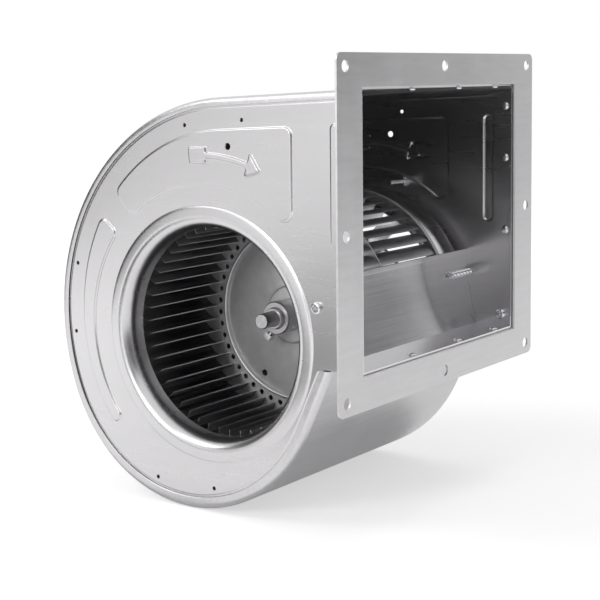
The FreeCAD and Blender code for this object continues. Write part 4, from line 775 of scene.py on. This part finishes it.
def spread_tree():
    """Node tree that puts a piece at every point of a mesh, turned as the points say."""
    tree = bpy.data.node_groups.new("spread pieces", "GeometryNodeTree")
    sockets = {}
    for label, way, kind in (("Result", "OUTPUT", "Geometry"), ("Geometry", "INPUT", "Geometry"),
                             ("Piece", "INPUT", "Object"), ("Look", "INPUT", "Material"),
                             ("Wobble", "INPUT", "Float")):
        sockets[label] = tree.interface.new_socket(label, in_out=way,
                                                   socket_type="NodeSocket" + kind)
    entry = new_node(tree, "NodeGroupInput")
    leave = new_node(tree, "NodeGroupOutput")
    info = new_node(tree, "GeometryNodeObjectInfo")
    turn = new_node(tree, "GeometryNodeInputNamedAttribute", {"Name": "turn"},
                    data_type="FLOAT_VECTOR")
    chance = new_node(tree, "FunctionNodeRandomValue", {"Seed": 7}, data_type="FLOAT")
    centred = new_node(tree, "ShaderNodeMath", {1: 0.5}, operation="SUBTRACT")
    scaled = new_node(tree, "ShaderNodeMath", operation="MULTIPLY")
    around = new_node(tree, "ShaderNodeCombineXYZ")
    total = new_node(tree, "ShaderNodeVectorMath", operation="ADD")
    place = new_node(tree, "GeometryNodeInstanceOnPoints")
    real = new_node(tree, "GeometryNodeRealizeInstances")
    paint = new_node(tree, "GeometryNodeSetMaterial")
    wire(tree, (entry, "Geometry", place, "Points"), (entry, "Piece", info, "Object"),
         (info, "Geometry", place, "Instance"), (chance, 1, centred, 0), (centred, 0, scaled, 0),
         (entry, "Wobble", scaled, 1), (scaled, 0, around, "Y"), (turn, "Attribute", total, 0),
         (around, 0, total, 1), (total, 0, place, "Rotation"),
         (place, "Instances", real, "Geometry"), (real, "Geometry", paint, "Geometry"),
         (entry, "Look", paint, "Material"), (paint, "Geometry", leave, "Result"))
    return tree, sockets


SPREAD, SPREAD_SOCKETS = spread_tree()


def spread(name, pattern_points, pattern_faces, places, look, body, slot_name, wobble=0.0,
           sharp_angle=SMOOTH_ANGLE):
    """A pattern drawn about its own origin, in millimetres, repeated at (point, turn) places."""
    pattern_mesh = bpy.data.meshes.new(name + "_pattern")
    pattern_mesh.from_pydata([Vector(point) * MM for point in pattern_points], [], pattern_faces)
    finish_mesh(pattern_mesh, sharp_angle)
    pattern = bpy.data.objects.new(name + "_pattern", pattern_mesh)
    bpy.context.scene.collection.objects.link(pattern)
    item = new_object(name, [point for point, turn in places], [])
    turns = item.data.attributes.new("turn", "FLOAT_VECTOR", "POINT")
    for index, (point, turn) in enumerate(places):
        turns.data[index].vector = turn
    nodes = item.modifiers.new("spread", "NODES")
    nodes.node_group = SPREAD
    for label, value in (("Piece", pattern), ("Look", look), ("Wobble", wobble)):
        nodes[SPREAD_SOCKETS[label].identifier] = value
    with_modifiers(item)
    bpy.data.objects.remove(pattern)
    finish_piece(item, look, body, [name.replace("fine_", "")], sharp_angle)


def turned(profile, steps):
    """Points and faces of a form turned about Z from a line of (radius, height)."""
    points = []
    for radius, height in profile:
        for step in range(steps):
            turn = FULL_TURN * step / steps
            points.append((radius * math.cos(turn), radius * math.sin(turn), height))
    faces = ring_faces(len(profile), steps)
    if profile[0][0] > AXIS:
        faces.append(tuple(range(steps)))
    if profile[-1][0] > AXIS:
        faces.append(tuple(range((len(profile) - 1) * steps, len(profile) * steps)))
    return points, faces


rivet_profile = [RIVET_DIMPLE]
for angle in quarter_turns(RIVET_PARTS):
    rivet_profile.append((RIVET_CROWN + RIVET_DOME * math.sin(angle),
                          -RIVET_HEIGHT * math.cos(angle)))
rivet_profile += [*RIVET_SHANK, (AXIS, RIVET_TAIL)]
rivet_points, rivet_faces = turned(rivet_profile, RIVET_STEPS)
rivet_places = []
for row in RIVET_ROWS:
    rivet_places.append(((RIVET_X, row, RIVET_TOP), TO_PLUS_Z))
    rivet_places.append(((RIVET_X, row, DUCT_FLOOR), TO_MINUS_Z))
for rivet_height in RIVET_HEIGHTS:
    rivet_places.append(((RIVET_X, -DUCT_HALF, rivet_height), TO_MINUS_Y))
    rivet_places.append(((RIVET_X, DUCT_HALF, rivet_height), TO_PLUS_Y))
spread("fine_flange_rivets", rivet_points, rivet_faces, rivet_places, RIVET_LOOK, "casing",
       "rivet")


SCREW_STEPS = 32
FINE_PITCH = 2
FINE_RINGS = 8
COARSE_RINGS = 20
THREAD_ROOT = 0.35
THREAD_SLOPE = 2.2
END_SHARE = 0.75
HEAD_STEPS = 40
HEAD_PARTS = 8
HEAD_SIDE = 1.0
HEAD_ROUND = (2.4, 2.6)
HEAD_TOP = 3.6
RECESS_REACH = 0.62
RECESS_SLIM = 0.18
RECESS_LEVELS = ((-4.2, 1.05), (-1.3, 0.8))
RECESS_SHARP = 30


def pan_screw(radius, head_radius, length, pitch):
    """Pan-head screw along +Z: domed head with a cross recess, thread, narrowed end."""
    depth = min(0.6 * pitch, 0.45 * radius)
    points = []
    rings = int(length / pitch * (FINE_RINGS if pitch < FINE_PITCH else COARSE_RINGS))
    for ring in range(rings + 1):
        height = length * ring / rings
        fade = min(1.0, (length - height) / (1.5 * pitch))
        for step in range(SCREW_STEPS):
            phase = (height / pitch - step / SCREW_STEPS) % 1.0
            crest = 1 - abs(2 * phase - 1)
            ridge = min(1.0, THREAD_SLOPE * max(0.0, crest - THREAD_ROOT))
            reach = (radius - depth * (1 - ridge)) * (END_SHARE + (1 - END_SHARE) * fade)
            turn = FULL_TURN * step / SCREW_STEPS
            points.append((reach * math.cos(turn), reach * math.sin(turn), height))
    faces = ring_faces(rings + 1, SCREW_STEPS)
    faces.append(tuple(range(SCREW_STEPS)))
    faces.append(tuple(range(rings * SCREW_STEPS, (rings + 1) * SCREW_STEPS)))
    head = [(head_radius * 0.98, 0.0), (head_radius, -0.3), (head_radius, -HEAD_SIDE)]
    across, along = HEAD_ROUND
    for angle in quarter_turns(HEAD_PARTS)[1:]:
        head.append((head_radius - across + across * math.cos(angle),
                     -HEAD_SIDE - along * math.sin(angle)))
    head.append((AXIS, -HEAD_TOP))
    head_item = new_object("head", *turned(head, HEAD_STEPS))
    arm = head_radius * RECESS_REACH
    slim = head_radius * RECESS_SLIM
    outline = [(slim, slim), (arm, slim), (arm, -slim), (slim, -slim), (slim, -arm),
               (-slim, -arm), (-slim, -slim), (-arm, -slim), (-arm, slim), (-slim, slim),
               (-slim, arm), (slim, arm)]
    corners = len(outline)
    cross_points = []
    for level, grow in RECESS_LEVELS:
        cross_points += [(x * grow, y * grow, level) for x, y in outline]
    cross_faces = ring_faces(2, corners)
    cross_faces += [tuple(range(corners)), tuple(range(corners, 2 * corners))]
    cross_item = new_object("cross", cross_points, cross_faces)
    finish_mesh(head_item.data, RECESS_SHARP)
    finish_mesh(cross_item.data, RECESS_SHARP)
    cut = head_item.modifiers.new("recess", "BOOLEAN")
    cut.operation = "DIFFERENCE"
    cut.solver = "EXACT"
    cut.object = cross_item
    with_modifiers(head_item)
    first = len(points)
    for vertex in head_item.data.vertices:
        spot = vertex.co / MM
        points.append((spot.x - SHAFT_X, spot.y, spot.z - SHAFT_Z))
    for face in head_item.data.polygons:
        faces.append(tuple(index + first for index in face.vertices))
    bpy.data.objects.remove(head_item)
    bpy.data.objects.remove(cross_item)
    return points, faces


STOP_SIZES = (4.2, 5.8, 45.0, 6.8)
TAB_SIZES = (2.5, 5.5, 9.0, 0.8)
TAB_SEAT = 143.4
stop_places = [((STOP_SCREW_X, -PLATE_FACE, STOP_SCREW_Z), TO_PLUS_Y),
               ((STOP_SCREW_X, PLATE_FACE, STOP_SCREW_Z), TO_MINUS_Y)]
spread("fine_stop_screws", *pan_screw(*STOP_SIZES), stop_places, ZINC_LOOK, "casing",
       "zinc_fastener")
tab_places = [((TAB_SCREW[0], -TAB_SEAT, TAB_SCREW[1]), TO_MINUS_Y),
              ((TAB_SCREW[0], TAB_SEAT, TAB_SCREW[1]), TO_PLUS_Y)]
spread("fine_tab_screws", *pan_screw(*TAB_SIZES), tab_places, ZINC_LOOK, "casing",
       "zinc_fastener")

# Wheel: 48 forward-curved blades between two end rings, passed through a dished centre disc
# that carries the hub; zinc-coated sheet, blades rolled, disc drawn and pierced
BLADE_COUNT = 48
BLADE_BORE = 102.0
BLADE_TIP = 124.8
BLADE_CURVE = 17.0
BLADE_GAUGE = 0.8
BLADE_HALF = 112.9
BLADE_INLET_ANGLE = 80.0
BLADE_PARTS = 14
BLADE_WOBBLE = 0.25
BLADE_SHARP = 40
inlet_angle = math.radians(BLADE_INLET_ANGLE)
blade_start = Vector((BLADE_BORE, 0))
blade_heading = Vector((math.sin(inlet_angle), math.cos(inlet_angle)))
blade_centre = blade_start + Vector((blade_heading.y, -blade_heading.x)) * BLADE_CURVE
centre_reach = blade_centre.length
corner_cosine = ((centre_reach ** 2 + BLADE_CURVE ** 2 - BLADE_TIP ** 2)
                 / (2 * centre_reach * BLADE_CURVE))
blade_swing = math.acos(max(-1.0, min(1.0, corner_cosine)))
first_turn = math.atan2(blade_start.y - blade_centre.y, blade_start.x - blade_centre.x)
last_turn = math.atan2(-blade_centre.y, -blade_centre.x) - blade_swing
if last_turn > first_turn:
    last_turn -= FULL_TURN


def blade_line():
    """Closed section of a blade, as (x, z)."""
    outline = []
    for start, end, radius in ((first_turn, last_turn, BLADE_CURVE + BLADE_GAUGE / 2),
                               (last_turn, first_turn, BLADE_CURVE - BLADE_GAUGE / 2)):
        for part in range(BLADE_PARTS + 1):
            turn = start + (end - start) * part / BLADE_PARTS
            outline.append(blade_centre + Vector((math.cos(turn), math.sin(turn))) * radius)
    return outline


blade_sections = [[(spot.x, BLADE_HALF * share, spot.y) for spot in blade_line()]
                  for share in (-1, -0.5, 0, 0.5, 1)]
blade_places = [((0, 0, 0), (0, -FULL_TURN * k / BLADE_COUNT, 0)) for k in range(BLADE_COUNT)]
# the blades get the darkened sheet: painted shade
spread("fine_blades", *swept(blade_sections), blade_places, SHADED_BLADE_LOOK, "wheel", "wheel_sheet",
       wobble=math.radians(BLADE_WOBBLE), sharp_angle=BLADE_SHARP)


def about_shaft(name, profile, steps, look):
    """Closed ring of the wheel, turned about the shaft from a closed line of (radius, y)."""
    points = []
    for step in range(steps):
        turn = FULL_TURN * step / steps
        points += [(radius * math.cos(turn), place_y, radius * math.sin(turn))
                   for radius, place_y in profile]
    size = len(profile)
    faces = []
    for step in range(steps):
        after = (step + 1) % steps
        for index in range(size):
            following = (index + 1) % size
            if profile[index][0] <= AXIS and profile[following][0] <= AXIS:
                continue
            faces.append((step * size + index, step * size + following,
                          after * size + following, after * size + index))
    finish_piece(new_object(name, points, faces), look, "wheel", [name.replace("fine_", "")],
                 TURNED_SHARP)


def ring_profile(side):
    """Section of an end ring: a flat web with a rounded corner and a band round the blades."""
    low, high, face, back, bend, gauge = 115.0, 126.0, 114.0, 109.0, 1.6, 1.0
    web_break, band_break, parts = 0.5, 0.3, 6
    line = [(low, face - web_break), (low + web_break, face)]
    for angle in quarter_turns(parts):
        line.append((high - bend + bend * math.sin(angle), face - bend + bend * math.cos(angle)))
    line += [(high, back + band_break), (high - band_break, back), (high - gauge, back),
             (high - gauge, face - bend), (high - bend, face - gauge), (low, face - gauge)]
    return [(radius, side * place_y) for radius, place_y in line]


TURNED_SHARP = 30
RING_STEPS = 192
about_shaft("fine_end_ring_front", ring_profile(-1), RING_STEPS, WHEEL_LOOK)
about_shaft("fine_end_ring_rear", ring_profile(1), RING_STEPS, WHEEL_LOOK)

# Centre disc: 1.2 mm sheet, dished towards the hub, with a round bead, 48 rim holes and a
# key hole; its front face is drawn as lines of equal height, then given its gauge
DISC_STEPS = 240
DISC_GAUGE = 1.2
DISC_SHARP = 40
DISC_BORE = 12.1
DISC_FACE = 0.6
PAD_RADII = (12.1, 20.0, 28.6)
PAD_HEIGHT = 6.6
PAD_FALL = (3.2, 1.6)
PAD_PARTS = 8
DISH_RADII = (31.8, 87.2)
DISH_HEIGHTS = (5.0, 4.4)
DISH_PARTS = 12
BEAD_WIDTH = 6.8
BEAD_HEIGHT = 3.5
BEAD_POWER = 1.3
BEAD_PARTS = 16
RIM_RADII = (94.0, 94.6, 103.5, 110.0, 117.0, 124.0)
RIM_HOLE_CIRCLE = 99.7
RIM_HOLE_RADIUS = 2.9
RIM_HOLE_STEPS = 16
KEY_HOLE = (78.3, 240.0)
KEY_HOLE_RADIUS = 3.6
KEY_HOLE_STEPS = 24
KEY_HOLE_BAND = (74.0, 83.0)
dish_start, dish_end = DISH_RADII
dish_height, dish_fall = DISH_HEIGHTS
disc_profile = [(radius, PAD_HEIGHT) for radius in PAD_RADII]
for part in range(1, PAD_PARTS):
    share = part / PAD_PARTS
    disc_profile.append((PAD_RADII[-1] + PAD_FALL[0] * part / PAD_PARTS,
                         PAD_HEIGHT - PAD_FALL[1] * smooth_step(share)))
for share in shares(DISH_PARTS):
    disc_profile.append((dish_start + (dish_end - dish_start) * share,
                         dish_height - dish_fall * share))
for share in shares(BEAD_PARTS)[1:-1]:
    disc_profile.append((dish_end + BEAD_WIDTH * share,
                         DISC_FACE + BEAD_HEIGHT * math.sin(math.pi * share) ** BEAD_POWER))
disc_profile += [(radius, DISC_FACE) for radius in RIM_RADII]
disc_lines = [(circle(radius, DISC_STEPS), height, True) for radius, height in disc_profile
              if not KEY_HOLE_BAND[0] < radius < KEY_HOLE_BAND[1]]
disc_holes = [(Vector((0, 0)), DISC_BORE)]
for index in range(BLADE_COUNT):
    angle = FULL_TURN * (index + 0.5) / BLADE_COUNT
    spot = Vector((RIM_HOLE_CIRCLE * math.cos(angle), RIM_HOLE_CIRCLE * math.sin(angle)))
    disc_lines.append((circle(RIM_HOLE_RADIUS, RIM_HOLE_STEPS, *spot), DISC_FACE, True))
    disc_holes.append((spot, RIM_HOLE_RADIUS))
key_spot = Vector(polar(*KEY_HOLE))
key_height = dish_height - dish_fall * (KEY_HOLE[0] - dish_start) / (dish_end - dish_start)
disc_lines.append((circle(KEY_HOLE_RADIUS, KEY_HOLE_STEPS, *key_spot), key_height, True))
disc_holes.append((key_spot, KEY_HOLE_RADIUS))
disc_spots, disc_heights, disc_faces = sheet_from_lines(
    disc_lines, circle(RIM_RADII[-1], DISC_STEPS), disc_holes)
disc_points = [(spot.x, -height, spot.y) for spot, height in zip(disc_spots, disc_heights)]
disc = new_object("fine_centre_disc", disc_points, disc_faces)
finish_mesh(disc.data, DISC_SHARP)
if max(disc.data.polygons, key=lambda face: face.area).normal.y > 0:
    disc.data.flip_normals()
disc_sheet = disc.modifiers.new("sheet", "SOLIDIFY")
disc_sheet.thickness = DISC_GAUGE * MM
disc_sheet.offset = -1.0
with_modifiers(disc)
finish_piece(disc, WHEEL_LOOK, "wheel", ["centre_disc"], DISC_SHARP)

# Hub, shaft and set screw: turned steel; the hub is swaged into the disc and pinched to the
# shaft by a square-headed screw; the shaft's ends are chamfered
HUB_PROFILE = [(8.1, -37.2), (8.5, -37.5), (10.4, -37.5), (11.0, -36.9), (11.0, -34.2),
               (11.6, -33.5), (16.4, -33.5), (17.4, -32.5), (17.4, -7.4), (16.9, -6.7),
               (12.0, -6.7), (12.0, 1.6), (11.6, 2.0), (8.4, 2.0), (8.1, 1.7)]
SHAFT_PROFILE = [(AXIS, -58.4), (7.1, -58.4), (7.6, -58.1), (8.0, -57.4), (8.0, 13.9),
                 (7.5, 14.1), (7.5, 36.0), (8.0, 36.2), (8.0, 111.9), (7.5, 112.0),
                 (7.5, 138.4), (7.0, 139.0), (AXIS, 139.0)]
SHAFT_STEPS = 96
about_shaft("fine_wheel_hub", HUB_PROFILE, SHAFT_STEPS, STEEL_LOOK)
about_shaft("fine_motor_shaft", SHAFT_PROFILE, SHAFT_STEPS, STEEL_LOOK)
from_cad("set_screw", ZINC_LOOK, "wheel", 0.4)

# Motor: rolled shell between two cast shields, stator and rotor in it, two bearings and four
# tie bolts; held by a clamp band and three bent arms with rubber grommets at the far plate
MOTOR_PIECES = (
    (PAINT_LOOK, "casing", "motor_paint", "motor_shell", 0.3),
    (PAINT_LOOK, "casing", "motor_paint", "end_shield_front end_shield_rear", 0.5),
    (ZINC_LOOK, "casing", "zinc_fastener", "tie_bolts", 0.25),
    (CORE_LOOK, "casing", "lamination", "stator_core", 0.0),
    (COPPER_LOOK, "casing", "copper", "stator_windings", 1.5),
    (CORE_LOOK, "wheel", "lamination", "rotor_core", 0.5),
    (BEARING_LOOK, "casing", "bearing_steel", "bearing_outer_front bearing_outer_rear", 0.5),
    (BEARING_LOOK, "wheel", "bearing_steel", "bearing_inner_front bearing_inner_rear", 0.4),
    (RUBBER_LOOK, "casing", "rubber", "lead_bush", 0.6),
    (CASING_LOOK, "casing", "casing_sheet", "motor_band", 0.25),
    (ZINC_LOOK, "casing", "zinc_fastener", "band_bolt band_nut", 0.3),
    (CASING_LOOK, "casing", "casing_sheet", "motor_arm_1 motor_arm_2 motor_arm_3", 0.4),
    (ZINC_LOOK, "casing", "zinc_fastener", "arm_screws", 0.2),
    (ZINC_LOOK, "casing", "zinc_fastener", "arm_bolts arm_nuts", 0.3),
    (RUBBER_LOOK, "casing", "rubber", "arm_grommets", 0.4))
for look, body, slot_name, nodes, edge_break in MOTOR_PIECES:
    for node in nodes.split():
        from_cad(node, look, body, edge_break)

# Studio: pale floor that keeps the shadow, white backdrop for seeing rays, three soft lamps
# and grey cards out of the camera's sight, which the metal shows in its reflections
FLOOR_Z = frame_low.z - 0.0005
FLOOR_HALF = 6.0


def plane(name, centre, half_x, half_y, turn=(0, 0, 0)):
    mesh = bpy.data.meshes.new(name)
    corners = [(-half_x, -half_y, 0), (half_x, -half_y, 0), (half_x, half_y, 0),
               (-half_x, half_y, 0)]
    mesh.from_pydata(corners, [], [(0, 1, 2, 3)])
    item = bpy.data.objects.new(name, mesh)
    item.location = centre
    item.rotation_euler = turn
    bpy.context.scene.collection.objects.link(item)
    return item


def seeing_rays(tree):
    """One for camera, glossy and transmission rays, else nothing."""
    path = new_node(tree, "ShaderNodeLightPath")
    first = new_node(tree, "ShaderNodeMath", operation="MAXIMUM")
    second = new_node(tree, "ShaderNodeMath", operation="MAXIMUM")
    wire(tree, (path, "Is Camera Ray", first, 0), (path, "Is Glossy Ray", first, 1),
         (first, 0, second, 0), (path, "Is Transmission Ray", second, 1))
    return second


def matt_look(name, colour, specular, glow):
    """Matt material that may glow a little, and its shader."""
    look = bpy.data.materials.new(name)
    look.use_nodes = True
    shader = look.node_tree.nodes["Principled BSDF"]
    for key, value in (("Base Color", (*colour, 1)), ("Roughness", 0.9),
                       ("Specular IOR Level", specular), ("Emission Color", (1, 1, 1, 1)),
                       ("Emission Strength", glow)):
        shader.inputs[key].default_value = value
    return look, shader


world = bpy.data.worlds.new("studio")
bpy.context.scene.world = world
world.use_nodes = True
sky = world.node_tree
background = sky.nodes["Background"]
background.inputs["Color"].default_value = (1, 1, 1, 1)
level = new_node(sky, RANGE, {"To Min": 0.45, "To Max": 1.0})
wire(sky, (seeing_rays(sky), 0, level, "Value"), (level, "Result", background, "Strength"))

floor = plane("floor", (0, 0, FLOOR_Z), FLOOR_HALF, FLOOR_HALF)
floor_look, floor_shader = matt_look("floor", (0.93, 0.93, 0.93), 0.0, 0.0)
ground = floor_look.node_tree
floor_place = new_node(ground, "ShaderNodeTexCoord")
floor_distance = new_node(ground, "ShaderNodeVectorMath", operation="LENGTH")
floor_fade = new_node(ground, RANGE, {"From Min": 0.3, "From Max": 1.3,
                                      "To Min": 0.45, "To Max": 0.62})
floor_gain = new_node(ground, "ShaderNodeMath", operation="MULTIPLY")
wire(ground, (floor_place, "Object", floor_distance, 0),
     (floor_distance, "Value", floor_fade, "Value"), (floor_fade, "Result", floor_gain, 1),
     (seeing_rays(ground), 0, floor_gain, 0), (floor_gain, 0, floor_shader, "Emission Strength"))
floor.data.materials.append(floor_look)

# cards, each as name, centre, half sizes, turn, tone and glow
SIDEWAYS = math.radians(35.6)
CARDS = (
    ("beside_outlet", (1.8, 1.6, 0.3), (0.85, 0.6), (math.pi / 2, 0, -math.radians(48)),
     0.34, 0.0),
    ("right", (2.0, -0.4, 0.5), (0.85, 1.6), (0, -math.pi / 2, 0), 0.2, 0.0),
    ("left", (-2.15, -0.72, 0.35), (0.8, 1.18), (0, math.pi / 2, 0), 0.06, 0.0),
    ("behind_camera", (1.3, -2.6, 0.5), (0.9, 0.85), (-math.pi / 2, 0, SIDEWAYS), 0.5, 0.0),
    ("behind_inlet", (-0.45, 0.55, -0.05), (0.35, 0.24), (math.pi / 2, 0, SIDEWAYS), 0.03, 0.0),
    # the card under the scroll is a painted shadow: the shaded floor under the casing, seen only in
    # the metal's reflections
    ("under_scroll", (-0.2, 0.0, FLOOR_Z + 0.0004), (0.2, 0.17), (0, 0, 0), 0.5, 0.25),
    ("before_plate", (-0.74, -1.2, FLOOR_Z + 0.002), (0.17, 0.8), (0, 0, -math.radians(33)),
     0.1, 0.0),
)
for name, centre, halves, turn, tone, glow in CARDS:
    card = plane("card_" + name, centre, *halves, turn)
    card.data.materials.append(matt_look("card_" + name, (tone, tone, tone * 1.02), 0.1, glow)[0])
    card.visible_camera = False
    card.visible_diffuse = False
    card.visible_shadow = False

# lamps, each as name, place, target, size, power and whether the metal mirrors it
for name, place, target, size, power, mirrored in (
        ("key", (-1.7, -1.6, 1.9), (-0.1, 0, -0.05), 1.2, 12.0, True),
        ("top", (0.1, 0.3, 2.4), (-0.1, 0, -0.05), 1.4, 6.0, False),
        ("front", (-0.5, -2.3, 0.7), (-0.15, 0, -0.1), 0.7, 14.0, True)):
    lamp_data = bpy.data.lights.new(name, "AREA")
    lamp_data.shape = "SQUARE"
    lamp_data.size = size
    lamp_data.energy = power
    lamp = bpy.data.objects.new(name, lamp_data)
    bpy.context.scene.collection.objects.link(lamp)
    lamp.location = place
    aim = Vector(target) - Vector(place)
    lamp.rotation_euler = aim.to_track_quat("-Z", "Y").to_euler()
    lamp.visible_glossy = mirrored

# Camera: fitted to the photograph; its place is measured from the outlet flange's middle
CAMERA_PLACE = (0.6922, -1.21255, 0.14415)
CAMERA_YAW = math.radians(35.5577)
CAMERA_PITCH = math.radians(5.2489)
CAMERA_ROLL = math.radians(-0.5578)
FOCAL_PIXELS = 1425.77
FRAME_PIXELS = 600
SENSOR_MM = 36.0
CAMERA_SHIFT = -0.16
camera_data = bpy.data.cameras.new("camera")
camera = bpy.data.objects.new("camera", camera_data)
bpy.context.scene.collection.objects.link(camera)
bpy.context.scene.camera = camera
camera_data.sensor_width = SENSOR_MM
camera_data.lens = FOCAL_PIXELS / FRAME_PIXELS * SENSOR_MM
camera_data.shift_y = CAMERA_SHIFT
level_forward = Vector((-math.sin(CAMERA_YAW), math.cos(CAMERA_YAW), 0))
level_right = Vector((math.cos(CAMERA_YAW), math.sin(CAMERA_YAW), 0))
world_up = Vector((0, 0, 1))
forward = level_forward * math.cos(CAMERA_PITCH) - world_up * math.sin(CAMERA_PITCH)
upright = world_up * math.cos(CAMERA_PITCH) + level_forward * math.sin(CAMERA_PITCH)
right = level_right * math.cos(CAMERA_ROLL) + upright * math.sin(CAMERA_ROLL)
above = upright * math.cos(CAMERA_ROLL) - level_right * math.sin(CAMERA_ROLL)
camera_turn = Matrix((right, above, -forward)).transposed().to_4x4()
camera.matrix_world = Matrix.Translation(CAMERA_PLACE) @ camera_turn
bpy.context.scene.view_settings.view_transform = "Standard"
